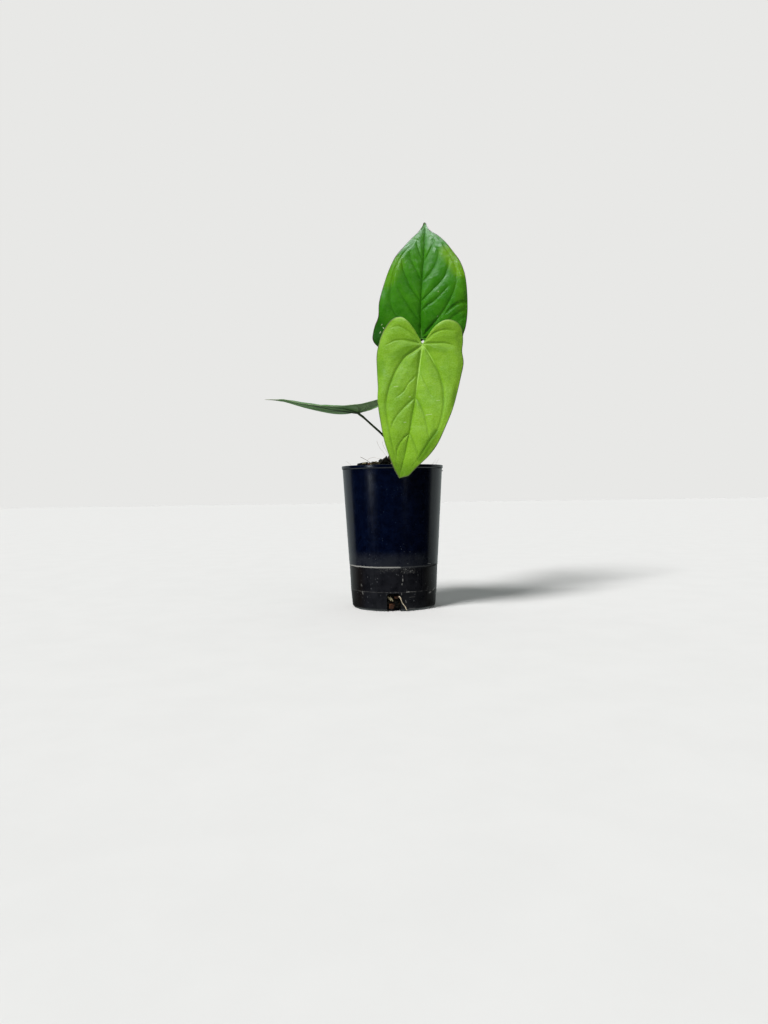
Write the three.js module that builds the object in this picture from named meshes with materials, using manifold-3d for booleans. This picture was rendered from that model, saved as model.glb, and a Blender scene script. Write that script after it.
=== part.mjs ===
// A young anthurium in a tall black nursery pot: three heart-shaped leaves on slender stalks,
// a short stem with arching roots, two dry bracts, and a potting mix topped with bark chips.
// Units are millimetres and +Z is up. The origin is the centre of the pot's underside.
// The front leaf faces -Y, the level leaf points to -X, and the tallest leaf stands behind.
import * as THREE from "three";
import { mergeVertices } from "three/addons/utils/BufferGeometryUtils.js";
import Module from "manifold-3d";

const wasm = await Module();
wasm.setup();

// Driving dimensions

const GAP = 0.3; // clearance between pieces that touch on the real plant

const POT = {
  height: 125,
  rimRadius: 45,
  lipHeight: 3,
  lipProud: 0.5,
  wall: 1.2,
  floor: 1.8,
  stepHeight: 37.6,
  stepSlope: 0.8,
  radiusAboveStep: 39.5,
  radiusBelowStep: 39.2,
  ringHeight: 16.5,
  ringRadius: 38.3,
  footRadius: 36.9,
  footChamfer: 1.6,
  segments: 60,
};

// Openings round the foot; the first one faces the front.
const DRAIN = { count: 3, width: 11.6, height: 15.4, corner: 2.6, reach: 6.5, firstAngle: -91 };

const MIX = {
  edgeHeight: 120,
  mound: { x: -10, y: 4, height: 5.2, spread: 19 },
  chips: 42,
  seed: 11,
  sides: 36,
  ringRadii: [39, 33, 27, 21, 15, 9, 4],
};

const CROWN = {
  foot: new THREE.Vector3(5, 3, 106),
  top: new THREE.Vector3(3, 2, 139),
  radius: 6.2,
  sides: 14,
  ringShares: [0.82, 0.92, 1, 0.94, 1.04, 0.95, 1.05, 0.94, 0.98, 0.8, 0.45],
};

// Roots that leave the stem at a height and dive into the mix at a reach from its axis.
const ROOTS = [
  { angle: 196, height: 130.5, reach: 15, radius: 1.5 },
  { angle: 250, height: 129, reach: 14, radius: 1.1 },
  { angle: 318, height: 126.5, reach: 17, radius: 1.4 },
  { angle: 25, height: 128.5, reach: 16, radius: 1.2 },
  { angle: 110, height: 128, reach: 18, radius: 1.3 },
];
const ROOT_DROP = 11;

// Dry bracts that stand against the stem, at the foot of the stalks.
const BRACTS = [
  { angle: 188, foot: 127, tall: 6.5, wide: 8, lean: 0.25 },
  { angle: 292, foot: 129, tall: 17, wide: 8.5, lean: 0.2 },
];
const BRACT_THICKNESS = 0.7;

// Each blade lies along a cubic Bezier midrib, from the stalk to the tip.
// "facing" is where its upper face looks at the stalk and at the tip. "fold" is the angle in degrees
// at which both halves rise from the midrib, at the stalk, on the way and at the tip.
// An outline gives (along the midrib, out to the side) from the sinus, round the lobe, to the tip.
const LEAVES = {
  front: {
    spine: [
      [27.5, -15, 229.4],
      [21.6, -27.3, 189.5],
      [15.3, -57.3, 148.9],
      [4.8, -58, 112.8],
    ],
    facing: [
      [0, -0.94, 0.34],
      [-0.05, -0.97, 0.2],
    ],
    right: {
      outline: [
        [-13.2, 8.9],
        [-19.5, 15.2],
        [-23, 21.5],
        [-20.8, 28.6],
        [-13, 34],
        [-1, 37.3],
        [15, 38.2],
        [30, 36],
        [48, 32.8],
        [62, 31],
        [77, 27],
        [97, 19.9],
        [112, 12],
        [121, 5.8],
        [127, 0],
      ],
      curl: 0,
      ripplePhase: 1.8,
    },
    left: {
      outline: [
        [-14, 6.6],
        [-20.5, 11.6],
        [-24.6, 19],
        [-24, 27],
        [-18.5, 32.8],
        [-8, 34.8],
        [2, 35],
        [14, 37.3],
        [28, 36.3],
        [47, 34.3],
        [63, 32.2],
        [79, 28.6],
        [93, 24.8],
        [104, 19.7],
        [112, 14.4],
        [119, 10],
        [123, 7.4],
        [125.2, 3.6],
        [127, 0],
      ],
      curl: 0,
      ripplePhase: 0.6,
    },
    fold: [6, 8, 10],
    camber: 0.006,
    lobeLift: 2,
    ripple: 0.9,
    quilt: 0.75,
  },
  back: {
    spine: [
      [28.5, 18, 241.3],
      [25.9, 18.9, 278.6],
      [35.1, 40.4, 324.8],
      [35.6, 68, 363.5],
    ],
    facing: [
      [0, -0.96, 0.26],
      [0, -0.85, 0.53],
    ],
    right: {
      outline: [
        [-15, 9.5],
        [-21.5, 17.5],
        [-21.5, 28],
        [-13, 35.5],
        [-1, 38],
        [9, 41],
        [22, 42.8],
        [36, 43],
        [51, 41.8],
        [65, 39.4],
        [78, 35.4],
        [88, 30.4],
        [102, 20.8],
        [111, 13.4],
        [120.5, 5],
        [127.5, 2.2],
        [134, 0],
      ],
      curl: 0,
      ripplePhase: 2.2,
    },
    left: {
      outline: [
        [-14, 9],
        [-20, 17],
        [-20, 26],
        [-13.5, 33],
        [-6, 37.5],
        [-1.6, 41.8],
        [3, 44.6],
        [8, 43.8],
        [13, 42],
        [20, 38.9],
        [32, 38.5],
        [48, 35.8],
        [63, 32.4],
        [79, 27.2],
        [92, 21.1],
        [101, 16.8],
        [110, 11.4],
        [117, 7],
        [123.5, 4],
        [129, 2],
        [134, 0],
      ],
      curl: -6,
      ripplePhase: 0,
    },
    fold: [8, 11, 14],
    camber: 0.007,
    lobeLift: -1,
    ripple: 1.1,
    quilt: 1,
  },
  left: {
    spine: [
      [-29, 0, 173.1],
      [-57.4, 3, 176.3],
      [-87.9, 11.5, 186.9],
      [-115.3, 15, 187.3],
    ],
    facing: [
      [0.05, 0, 1],
      [0, 0.084, 1],
    ],
    right: {
      outline: [
        [-14, 7.5],
        [-20.5, 13],
        [-21.5, 19.5],
        [-16, 24.5],
        [-4, 27.2],
        [13, 28],
        [33, 25.5],
        [50, 21],
        [63, 15],
        [74, 8.4],
        [81, 3],
        [89, 0],
      ],
      curl: 0,
      ripplePhase: 0.6,
    },
    left: {
      outline: [
        [-14, 7.5],
        [-21, 13],
        [-22, 19.5],
        [-16, 24.8],
        [-4, 27.6],
        [12, 28.2],
        [32, 26],
        [49, 21.6],
        [62, 15.6],
        [73, 9],
        [80.5, 3.2],
        [89, 0],
      ],
      curl: 0,
      ripplePhase: 2.2,
    },
    fold: [16.8, -13.4, 8],
    camber: 0.0089,
    lobeLift: 7.8,
    ripple: 1,
    quilt: 0.5,
  },
};

const BLADE = {
  thickness: 0.8,
  ripples: 3.3, // waves along each margin
  veinSlant: 1.1, // how far a side vein runs forward for each millimetre that it runs out
  veinBow: 0.15,
  lobeVeins: [0.36, 0.7], // shares of the margin that the fan of basal veins covers
  sideVeins: [0.13, 0.27, 0.41, 0.55, 0.69, 0.83], // shares of the midrib
  rimVein: 0.78, // share of the way out at which the vein along the margin runs
  rowsBetweenVeins: 4,
  columns: [0, 0.1, 0.25, 0.42, 0.6, 0.78, 0.89, 1],
  lobeReach: 20, // distance behind the stalk at which a lobe's lift and curl are full
};

// Each stalk runs from inside the stem and bends over a last joint to meet its blade squarely.
const STALKS = {
  front: {
    points: [
      [7.5, -1.5, 134],
      [14, -5, 155],
      [21, -7, 190],
      [27, -7, 219],
    ],
    radius: 1.2,
    joint: 4,
  },
  back: {
    points: [
      [6.5, 5.5, 134],
      [13.5, 13, 155],
      [20.8, 20.5, 190],
      [23.9, 26, 220],
      [24.2, 26.4, 231],
      [25.4, 24.6, 237.4],
    ],
    radius: 1.3,
    joint: 1.8,
  },
  left: {
    points: [
      [1.5, 2, 133],
      [-3.4, 1.4, 146.5],
      [-8.1, 0.6, 152.8],
      [-18.4, 0, 162.5],
      [-26.6, 0, 169.6],
    ],
    radius: 0.85,
    joint: 1.4,
  },
};
const STALK = {
  sides: 10,
  steps: 18,
  taper: 0.25,
  baseSwell: 1.7,
  baseLength: 0.2,
  jointSwell: 0.35,
  jointLength: 0.09,
};

// The root that has found its way out of the front opening and down to the ground.
const DRAIN_ROOT = {
  points: [
    [2.2, -29.5, 10.5],
    [3, -34.5, 12.6],
    [3.9, -37.6, 13.1],
    [5.3, -38.7, 11.1],
    [6.5, -38.4, 8.5],
    [8, -38.2, 6.4],
    [9.2, -38.1, 4.2],
    [10.4, -38.9, 1.2],
  ],
  radius: 0.75,
  taper: 0.3,
};

// Materials, in the colours and finishes of the real plant

const MATERIALS = {
  pot: new THREE.MeshStandardMaterial({ color: 0x10141c, roughness: 0.35, metalness: 0 }),
  mix: new THREE.MeshStandardMaterial({ color: 0x3a2a20, roughness: 0.95, metalness: 0 }),
  crown: new THREE.MeshStandardMaterial({ color: 0x5a5a34, roughness: 0.8, metalness: 0 }),
  youngLeaf: new THREE.MeshStandardMaterial({ color: 0x78a833, roughness: 0.45, metalness: 0 }),
  oldLeaf: new THREE.MeshStandardMaterial({ color: 0x3a7d22, roughness: 0.35, metalness: 0 }),
  stalk: new THREE.MeshStandardMaterial({ color: 0x47602c, roughness: 0.5, metalness: 0 }),
  bract: new THREE.MeshStandardMaterial({ color: 0x4a3524, roughness: 0.9, metalness: 0 }),
  root: new THREE.MeshStandardMaterial({ color: 0xc9b48c, roughness: 0.8, metalness: 0 }),
};

// Helpers

function seededRandom(seed) {
  let state = seed >>> 0;
  return () => {
    state = (state + 0x6d2b79f5) >>> 0;
    let bits = Math.imul(state ^ (state >>> 15), 1 | state);
    bits = (bits + Math.imul(bits ^ (bits >>> 7), 61 | bits)) ^ bits;
    return ((bits ^ (bits >>> 14)) >>> 0) / 2 ** 32;
  };
}

function vectors(list) {
  return list.map((p) => new THREE.Vector3(...p));
}

function polar(centre, radius, angle, z) {
  return new THREE.Vector3(centre.x + radius * Math.cos(angle), centre.y + radius * Math.sin(angle), z);
}

// A closed geometry as a solid for joining and cutting, with its faces turned outwards.
function solidOf(geometry) {
  const bare = new THREE.BufferGeometry();
  bare.setAttribute("position", geometry.getAttribute("position"));
  bare.setIndex(geometry.index);
  const merged = mergeVertices(bare, 1e-4);
  const corners = merged.index.array;
  const triangles = [];
  for (let i = 0; i < corners.length; i += 3) {
    const [a, b, c] = corners.slice(i, i + 3);
    if (a !== b && b !== c && c !== a) triangles.push([a, b, c]);
  }
  const vertProperties = merged.getAttribute("position").array;
  const build = (faces) => {
    const triVerts = new Uint32Array(faces.flat());
    return new wasm.Manifold(new wasm.Mesh({ numProp: 3, vertProperties, triVerts }));
  };
  const solid = build(triangles);
  return solid.volume() > 0 ? solid : build(triangles.map(([a, b, c]) => [a, c, b]));
}

function geometryOf(solid) {
  const mesh = solid.getMesh();
  const geometry = new THREE.BufferGeometry();
  geometry.setAttribute("position", new THREE.BufferAttribute(new Float32Array(mesh.vertProperties), 3));
  geometry.setIndex(new THREE.BufferAttribute(new Uint32Array(mesh.triVerts), 1));
  geometry.computeVertexNormals();
  return geometry;
}

// The largest of a solid's separate bodies, so that no loose scrap is left by a cut.
function largestBody(solid) {
  return solid.decompose().reduce((best, body) => (body.volume() > best.volume() ? body : best));
}

// A closed skin through rings of equally many points, with a fan over each end.
function loft(rings) {
  const sides = rings[0].length;
  const positions = rings.flat();
  const index = [];
  for (let r = 0; r + 1 < rings.length; r++) {
    for (let s = 0; s < sides; s++) {
      const a = r * sides + s;
      const b = r * sides + ((s + 1) % sides);
      index.push(a, b, a + sides, b, b + sides, a + sides);
    }
  }
  for (const r of [0, rings.length - 1]) {
    const centre = rings[r].reduce((sum, p) => sum.add(p), new THREE.Vector3()).divideScalar(sides);
    positions.push(centre);
    const middle = positions.length - 1;
    for (let s = 0; s < sides; s++) {
      const a = r * sides + s;
      const b = r * sides + ((s + 1) % sides);
      if (r === 0) index.push(b, a, middle);
      else index.push(a, b, middle);
    }
  }
  const geometry = new THREE.BufferGeometry().setFromPoints(positions);
  geometry.setIndex(index);
  return geometry;
}

// A tube whose radius follows radiusAt(share of its length) along a curve.
function taperedTube(curve, steps, sides, radiusAt) {
  const frames = curve.computeFrenetFrames(steps, false);
  const rings = [];
  for (let i = 0; i <= steps; i++) {
    const centre = curve.getPointAt(i / steps);
    const radius = radiusAt(i / steps);
    const ring = [];
    for (let s = 0; s < sides; s++) {
      const angle = (2 * Math.PI * s) / sides;
      const p = centre.clone().addScaledVector(frames.normals[i], radius * Math.cos(angle));
      ring.push(p.addScaledVector(frames.binormals[i], radius * Math.sin(angle)));
    }
    rings.push(ring);
  }
  return loft(rings);
}

// Gives an open sheet a thickness: both faces get the same triangles, and its edge is closed.
function thicken(points, triangles, thickness) {
  const sheet = new THREE.BufferGeometry().setFromPoints(points);
  sheet.setIndex(triangles.flat());
  sheet.computeVertexNormals();
  const normals = sheet.getAttribute("normal");
  const faceAt = (offset) =>
    points.map((p, i) => {
      const normal = new THREE.Vector3().fromBufferAttribute(normals, i);
      return p.clone().addScaledVector(normal, offset);
    });
  const under = points.length;
  const index = [];
  const edge = new Map();
  for (const [a, b, c] of triangles) {
    index.push(a, b, c, under + a, under + c, under + b);
    for (const [from, to] of [[a, b], [b, c], [c, a]]) {
      if (!edge.delete(`${to},${from}`)) edge.set(`${from},${to}`, [from, to]);
    }
  }
  for (const [from, to] of edge.values()) {
    index.push(from, under + from, to, to, under + from, under + to);
  }
  const geometry = new THREE.BufferGeometry();
  geometry.setFromPoints([...faceAt(thickness / 2), ...faceAt(-thickness / 2)]);
  geometry.setIndex(index);
  return geometry;
}

// Pot

// The radius of the pot's outer wall at a height, without the lip.
function potRadius(z) {
  const { height, stepHeight, ringHeight } = POT;
  const between = (lowZ, lowRadius, highZ, highRadius) =>
    THREE.MathUtils.mapLinear(z, lowZ, highZ, lowRadius, highRadius);
  if (z < ringHeight) return between(0, POT.footRadius, ringHeight, POT.ringRadius);
  if (z < stepHeight) return between(ringHeight, POT.ringRadius, stepHeight, POT.radiusBelowStep);
  return between(stepHeight, POT.radiusAboveStep, height, POT.rimRadius - POT.lipProud);
}

// The pot's inner wall as (radius, height) points from the rim to the floor, drawn in by inset.
function innerWall(inset) {
  const { height, floor, stepHeight, stepSlope, ringHeight, wall } = POT;
  const at = (z, radius) => new THREE.Vector2(radius - wall - inset, z);
  return [
    at(height, potRadius(height)),
    at(stepHeight + stepSlope, POT.radiusAboveStep),
    at(stepHeight - stepSlope, POT.radiusBelowStep),
    at(ringHeight, POT.ringRadius),
    at(floor + inset + POT.footChamfer, potRadius(floor + POT.footChamfer)),
    at(floor + inset, potRadius(floor) - POT.footChamfer),
  ];
}

// A drainage opening, upright and square to the wall, cut from below the floor upwards.
function drainOpening(angle) {
  const { width, height, corner, reach } = DRAIN;
  const half = width / 2;
  const margin = 4; // how far the cutting block runs past the floor and the wall
  const arch = new THREE.Shape();
  arch.moveTo(-half, -margin);
  arch.lineTo(half, -margin);
  arch.lineTo(half, height - corner);
  arch.absarc(half - corner, height - corner, corner, 0, Math.PI / 2, false);
  arch.absarc(-half + corner, height - corner, corner, Math.PI / 2, Math.PI, false);
  arch.closePath();
  const depth = reach + margin;
  const block = new THREE.ExtrudeGeometry(arch, { depth, bevelEnabled: false, curveSegments: 4 });
  const outwards = new THREE.Vector3(1, 0, 0);
  const sideways = new THREE.Vector3(0, 1, 0);
  const upwards = new THREE.Vector3(0, 0, 1);
  block.applyMatrix4(new THREE.Matrix4().makeBasis(sideways, upwards, outwards));
  block.translate(POT.footRadius - reach, 0, 0);
  block.rotateZ(angle);
  return block;
}

function makePot() {
  const { height, rimRadius, lipHeight, lipProud, stepHeight, stepSlope, footRadius, footChamfer } = POT;
  const lipFoot = height - lipHeight;
  const edge = 0.5; // rounding of the lip
  const profile = [
    new THREE.Vector2(0, 0),
    new THREE.Vector2(footRadius - footChamfer, 0),
    new THREE.Vector2(potRadius(footChamfer), footChamfer),
    new THREE.Vector2(POT.ringRadius, POT.ringHeight),
    new THREE.Vector2(POT.radiusBelowStep, stepHeight - stepSlope),
    new THREE.Vector2(POT.radiusAboveStep, stepHeight + stepSlope),
    new THREE.Vector2(potRadius(lipFoot), lipFoot),
    new THREE.Vector2(rimRadius, lipFoot + lipProud),
    new THREE.Vector2(rimRadius, height - edge),
    new THREE.Vector2(rimRadius - edge, height),
    ...innerWall(0),
    new THREE.Vector2(0, POT.floor),
  ];
  const body = new THREE.LatheGeometry(profile, POT.segments);
  body.rotateX(Math.PI / 2);
  let solid = solidOf(body);
  for (let i = 0; i < DRAIN.count; i++) {
    const angle = DRAIN.firstAngle + (360 * i) / DRAIN.count;
    solid = solid.subtract(solidOf(drainOpening(THREE.MathUtils.degToRad(angle))));
  }
  return largestBody(solid);
}

// Crown: the short stem and the roots that arch from it into the mix

// "grow" swells a piece all round, to make the room that it needs in a neighbour.
function crownRoot({ angle, height, reach, radius }, grow) {
  const turn = THREE.MathUtils.degToRad(angle);
  const path = new THREE.CatmullRomCurve3([
    polar(CROWN.top, 1, turn, height - 3),
    polar(CROWN.top, CROWN.radius + 1, turn, height),
    polar(CROWN.top, reach * 0.74, turn, height - 2.5),
    polar(CROWN.top, reach, turn, height - ROOT_DROP),
  ]);
  return solidOf(taperedTube(path, 8, 7, (share) => radius * (1.1 - 0.35 * share) + grow));
}

function makeCrown(grow) {
  const { foot, top, radius, sides, ringShares } = CROWN;
  const last = ringShares.length - 1;
  const rings = ringShares.map((share, i) => {
    const centre = foot.clone().lerp(top, i / last);
    const overhang = grow * (Number(i === last) - Number(i === 0));
    const ring = [];
    for (let s = 0; s < sides; s++) {
      const angle = (2 * Math.PI * s) / sides;
      const lobed = radius * share * (1 + 0.05 * Math.sin(3 * angle + i / 2));
      ring.push(polar(centre, lobed + grow, angle, centre.z + overhang));
    }
    return ring;
  });
  const stem = solidOf(loft(rings));
  return ROOTS.reduce((solid, root) => solid.add(crownRoot(root, grow)), stem);
}

// Stalks

function makeStalk(name, grow) {
  const { sides, steps, taper, baseSwell, baseLength, jointSwell, jointLength } = STALK;
  const { smoothstep } = THREE.MathUtils;
  const stalk = STALKS[name];
  const { spine, facing } = LEAVES[name];
  const below = (distance) =>
    new THREE.Vector3(...spine[0]).addScaledVector(new THREE.Vector3(...facing[0]).normalize(), -distance);
  const seat = BLADE.thickness / 2 + GAP;
  const path = new THREE.CatmullRomCurve3([...vectors(stalk.points), below(seat + stalk.joint), below(seat)]);
  const radiusAt = (share) => {
    const base = baseSwell * (1 - smoothstep(share, 0, baseLength));
    const joint = jointSwell * smoothstep(share, 1 - 2 * jointLength, 1 - jointLength);
    return stalk.radius * (1 + taper * (1 - share)) + base + joint + grow;
  };
  return solidOf(taperedTube(path, steps, sides, radiusAt));
}

// Bracts

function makeBract({ angle, foot, tall, wide, lean }, thickness) {
  const [rows, columns] = [6, 6];
  const turn = THREE.MathUtils.degToRad(angle);
  const points = [];
  const triangles = [];
  for (let r = 0; r <= rows; r++) {
    const up = r / rows;
    const halfWidth = (wide / 2) * (0.25 + 0.75 * Math.sqrt(1 - up ** 2));
    const radius = CROWN.radius + 0.9 + lean * tall * up ** 1.5;
    for (let c = 0; c <= columns; c++) {
      const side = (2 * c) / columns - 1;
      const around = turn + (side * halfWidth) / radius;
      points.push(polar(CROWN.top, radius, around, foot + tall * up * (1 - 0.12 * side ** 2)));
      if (r === rows || c === columns) continue;
      const a = r * (columns + 1) + c;
      const b = a + columns + 1;
      triangles.push([a, a + 1, b + 1], [a, b + 1, b]);
    }
  }
  return solidOf(thicken(points, triangles, thickness));
}

// Blades

// Returns the function that finds a point of the blade's middle surface: u along the midrib,
// v out to the half's own side, and raised by lift along the upper face.
function bladeSurface(leaf) {
  const spine = new THREE.CubicBezierCurve3(...vectors(leaf.spine));
  const length = spine.getLength();
  const [facingStalk, facingTip] = vectors(leaf.facing);
  const { smoothstep, lerp, clamp, degToRad } = THREE.MathUtils;
  return (u, v, hand, half, lift) => {
    const share = clamp(u / length, 0, 1);
    const point = spine.getPointAt(share);
    const along = spine.getTangentAt(share);
    const face = facingStalk.clone().lerp(facingTip, share);
    face.addScaledVector(along, -face.dot(along)).normalize();
    const side = along.clone().cross(face).multiplyScalar(hand);
    const [foldStalk, foldMiddle, foldTip] = leaf.fold;
    const fold = degToRad(lerp(lerp(foldStalk, foldMiddle, share), lerp(foldMiddle, foldTip, share), share));
    const bent = fold - leaf.camber * v;
    const across = (Math.sin(fold) - Math.sin(bent)) / leaf.camber;
    const up = (Math.cos(bent) - Math.cos(fold)) / leaf.camber;
    const behind = Math.min(0, u);
    const lobe = leaf.lobeLift * Math.abs(behind / BLADE.lobeReach) ** 1.4;
    const back = 1 - smoothstep(u, -BLADE.lobeReach, BLADE.lobeReach);
    const curl = half.curl * back * (v / 40) ** 2;
    return point
      .addScaledVector(along, behind)
      .addScaledVector(side, across)
      .addScaledVector(face, up + lobe + curl + lift);
  };
}

// The veins' net on one half of a blade: rows run from the midrib to the margin as side veins do.
function halfNet(half, length) {
  const margin = new THREE.SplineCurve(half.outline.map((p) => new THREE.Vector2(...p)));
  const innerAt = (t) => {
    const outer = margin.getPointAt(t);
    return Math.max(0, outer.x - BLADE.veinSlant * outer.y);
  };
  // The place on the margin that the row starting at u on the midrib reaches.
  const marginFrom = (u) => {
    let [low, high] = [0, 1];
    for (let i = 0; i < 30; i++) {
      const middle = (low + high) / 2;
      if (innerAt(middle) < u) low = middle;
      else high = middle;
    }
    return high;
  };
  const fanEnd = marginFrom(1e-3);
  const stations = [
    ...[0, ...BLADE.lobeVeins].map((share) => ({ t: share * fanEnd })),
    ...[0, ...BLADE.sideVeins, 1].map((share) => ({ u: share * length })),
  ];
  const placeOf = ({ t, u }) => (u ? Math.min(1, marginFrom(u)) : (t ?? fanEnd));
  const rows = [];
  for (let i = 0; i + 1 < stations.length; i++) {
    const [from, to] = [stations[i], stations[i + 1]];
    for (let j = 0; j < BLADE.rowsBetweenVeins; j++) {
      const between = j / BLADE.rowsBetweenVeins;
      const onMidrib = from.u !== undefined;
      const u = onMidrib ? THREE.MathUtils.lerp(from.u, to.u, between) : undefined;
      const t = onMidrib ? placeOf({ u }) : THREE.MathUtils.lerp(from.t, to.t ?? fanEnd, between);
      rows.push({ t, inner: u ?? 0, between });
    }
  }
  rows.push({ t: 1, inner: length, between: 0 });
  return rows.map((row) => ({ ...row, outer: margin.getPointAt(row.t) }));
}

// A point of a row at a share k of the way out. A row leaves the midrib steeply and bends forward.
function alongRow({ inner, outer }, k) {
  const bow = BLADE.veinBow * THREE.MathUtils.smoothstep(outer.x, -10, 30);
  const start = new THREE.Vector2(inner, 0);
  const chord = outer.clone().sub(start);
  const control = start.clone().addScaledVector(chord, 0.5);
  control.add(new THREE.Vector2(-bow * chord.y, bow * chord.x));
  return new THREE.QuadraticBezierCurve(start, control, outer).getPoint(k);
}

// How far the blade swells up between its veins: nothing at a vein, and all of it midway.
function swellAt(between, k, width) {
  const { rimVein } = BLADE;
  const inside = Math.sin((Math.PI * k) / rimVein);
  const outside = 0.25 * Math.sin((Math.PI * (k - rimVein)) / (1 - rimVein));
  const full = Math.max(0, k < rimVein ? inside : outside);
  return Math.sqrt(full * Math.sin(Math.PI * between)) * Math.min(1, width / 14);
}

function makeBlade(leaf) {
  const surface = bladeSurface(leaf);
  const length = leaf.left.outline.at(-1)[0];
  const points = [];
  const known = new Map();
  const indexOf = (p) => {
    const key = p.toArray().map((x) => x.toFixed(3)).join();
    if (!known.has(key)) known.set(key, points.push(p) - 1);
    return known.get(key);
  };
  const triangles = [];
  for (const [half, hand] of [[leaf.right, 1], [leaf.left, -1]]) {
    const grid = halfNet(half, length).map((row) =>
      BLADE.columns.map((k) => {
        const width = row.outer.y;
        const p = alongRow(row, k);
        const rippled = THREE.MathUtils.smoothstep(k, 0.5, 1) * Math.min(1, width / 20);
        const ripple = Math.sin(2 * Math.PI * BLADE.ripples * row.t + half.ripplePhase);
        const lift = leaf.ripple * rippled * ripple + leaf.quilt * swellAt(row.between, k, width);
        return indexOf(surface(p.x, p.y, hand, half, lift));
      }),
    );
    for (let r = 0; r + 1 < grid.length; r++) {
      for (let c = 0; c + 1 < BLADE.columns.length; c++) {
        const [a, b, d, e] = [grid[r][c], grid[r][c + 1], grid[r + 1][c], grid[r + 1][c + 1]];
        const faces = [[a, b, e], [a, e, d]].filter((face) => new Set(face).size === 3);
        triangles.push(...faces.map(([p, q, s]) => (hand > 0 ? [p, q, s] : [p, s, q])));
      }
    }
  }
  return solidOf(thicken(points, triangles, BLADE.thickness));
}

// Potting mix, with chips of bark fused to its top

function mixTop(x, y) {
  const { mound, edgeHeight } = MIX;
  const away = Math.hypot(x - mound.x, y - mound.y) / mound.spread;
  const lumps = 0.5 * Math.sin(x / 4.1 + 1) * Math.cos(y / 3.7) + 0.35 * Math.sin((x + y) / 2.6);
  return edgeHeight + mound.height * Math.exp(-(away ** 4)) + lumps;
}

// The space inside the pot and above it, clear of the wall.
function insidePot() {
  const wall = innerWall(GAP);
  const ceiling = POT.height + 30;
  const profile = [
    new THREE.Vector2(0, ceiling),
    new THREE.Vector2(wall[0].x, ceiling),
    ...wall,
    new THREE.Vector2(0, POT.floor + GAP),
  ];
  const space = new THREE.LatheGeometry(profile, POT.segments);
  space.rotateX(Math.PI / 2);
  return solidOf(space);
}

// A bark chip: a box whose corners are pushed about.
function barkChip(random) {
  const size = new THREE.Vector3(5 + 8 * random(), 3.5 + 4.5 * random(), 2 + 2.5 * random());
  const chip = new THREE.BoxGeometry(size.x, size.y, size.z);
  const corners = chip.getAttribute("position");
  const shifts = new Map();
  for (let i = 0; i < corners.count; i++) {
    const corner = new THREE.Vector3().fromBufferAttribute(corners, i);
    const key = corner.toArray().map(Math.sign).join();
    if (!shifts.has(key)) {
      const shift = new THREE.Vector3(random() - 0.5, random() - 0.5, random() - 0.5);
      shifts.set(key, shift.multiply(size).multiplyScalar(0.45));
    }
    corner.add(shifts.get(key));
    corners.setXYZ(i, ...corner);
  }
  return chip;
}

function makeMix(keepOut) {
  const ringAt = (radius, height) =>
    Array.from({ length: MIX.sides }, (_, s) => {
      const p = polar({ x: 0, y: 0 }, radius, (2 * Math.PI * s) / MIX.sides, height);
      if (height === undefined) p.z = mixTop(p.x, p.y);
      return p;
    });
  const past = POT.rimRadius; // beyond the wall, to be trimmed by the space inside the pot
  let solid = solidOf(loft([ringAt(past, 0), ringAt(past), ...MIX.ringRadii.map((r) => ringAt(r))]));
  const random = seededRandom(MIX.seed);
  const reach = innerWall(GAP)[0].x - 3;
  const goldenAngle = Math.PI * (3 - Math.sqrt(5));
  for (let i = 0; i < MIX.chips; i++) {
    const radius = reach * Math.sqrt((i + 0.5) / MIX.chips);
    const spot = polar({ x: 0, y: 0 }, radius, i * goldenAngle + random(), 0);
    const chip = barkChip(random);
    chip.rotateX(1.1 * (random() - 0.5));
    chip.rotateY(1.1 * (random() - 0.5));
    chip.rotateZ(2 * Math.PI * random());
    chip.translate(spot.x, spot.y, mixTop(spot.x, spot.y) + 0.3 + 0.9 * random());
    solid = solid.add(solidOf(chip));
  }
  solid = solid.intersect(insidePot());
  for (const room of keepOut) solid = solid.subtract(room);
  return largestBody(solid);
}

// The root at the drainage opening

function makeDrainRoot(grow) {
  const { points, radius, taper } = DRAIN_ROOT;
  const path = new THREE.CatmullRomCurve3(vectors(points));
  return solidOf(taperedTube(path, 14, 8, (share) => radius - taper * share + grow));
}

// The plant in its pot

const plant = new THREE.Group();
plant.name = "potted_anthurium";

function place(name, solid, material) {
  const mesh = new THREE.Mesh(geometryOf(solid), material);
  mesh.name = name;
  plant.add(mesh);
}

const crownRoom = makeCrown(GAP);
const stalkRooms = Object.keys(STALKS).map((name) => makeStalk(name, GAP));
const bractRooms = BRACTS.map((bract) => makeBract(bract, BRACT_THICKNESS + 2 * GAP));

place("pot", makePot(), MATERIALS.pot);
place("potting_mix", makeMix([crownRoom, makeDrainRoot(GAP), ...bractRooms]), MATERIALS.mix);
place("crown", makeCrown(0), MATERIALS.crown);
for (const name of Object.keys(STALKS)) {
  const solid = makeStalk(name, 0).subtract(crownRoom);
  place(`petiole_${name}`, largestBody(solid), MATERIALS.stalk);
}
BRACTS.forEach((bract, i) => {
  let solid = makeBract(bract, BRACT_THICKNESS).subtract(crownRoom);
  for (const room of stalkRooms) solid = solid.subtract(room);
  place(`bract_${i + 1}`, largestBody(solid), MATERIALS.bract);
});
place("leaf_front", makeBlade(LEAVES.front), MATERIALS.youngLeaf);
place("leaf_back", makeBlade(LEAVES.back), MATERIALS.oldLeaf);
place("leaf_left", makeBlade(LEAVES.left), MATERIALS.oldLeaf);
place("drain_root", makeDrainRoot(0), MATERIALS.root);

export default plant;
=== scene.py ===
import math

import bpy
import numpy as np
from mathutils import Matrix, Vector


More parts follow.
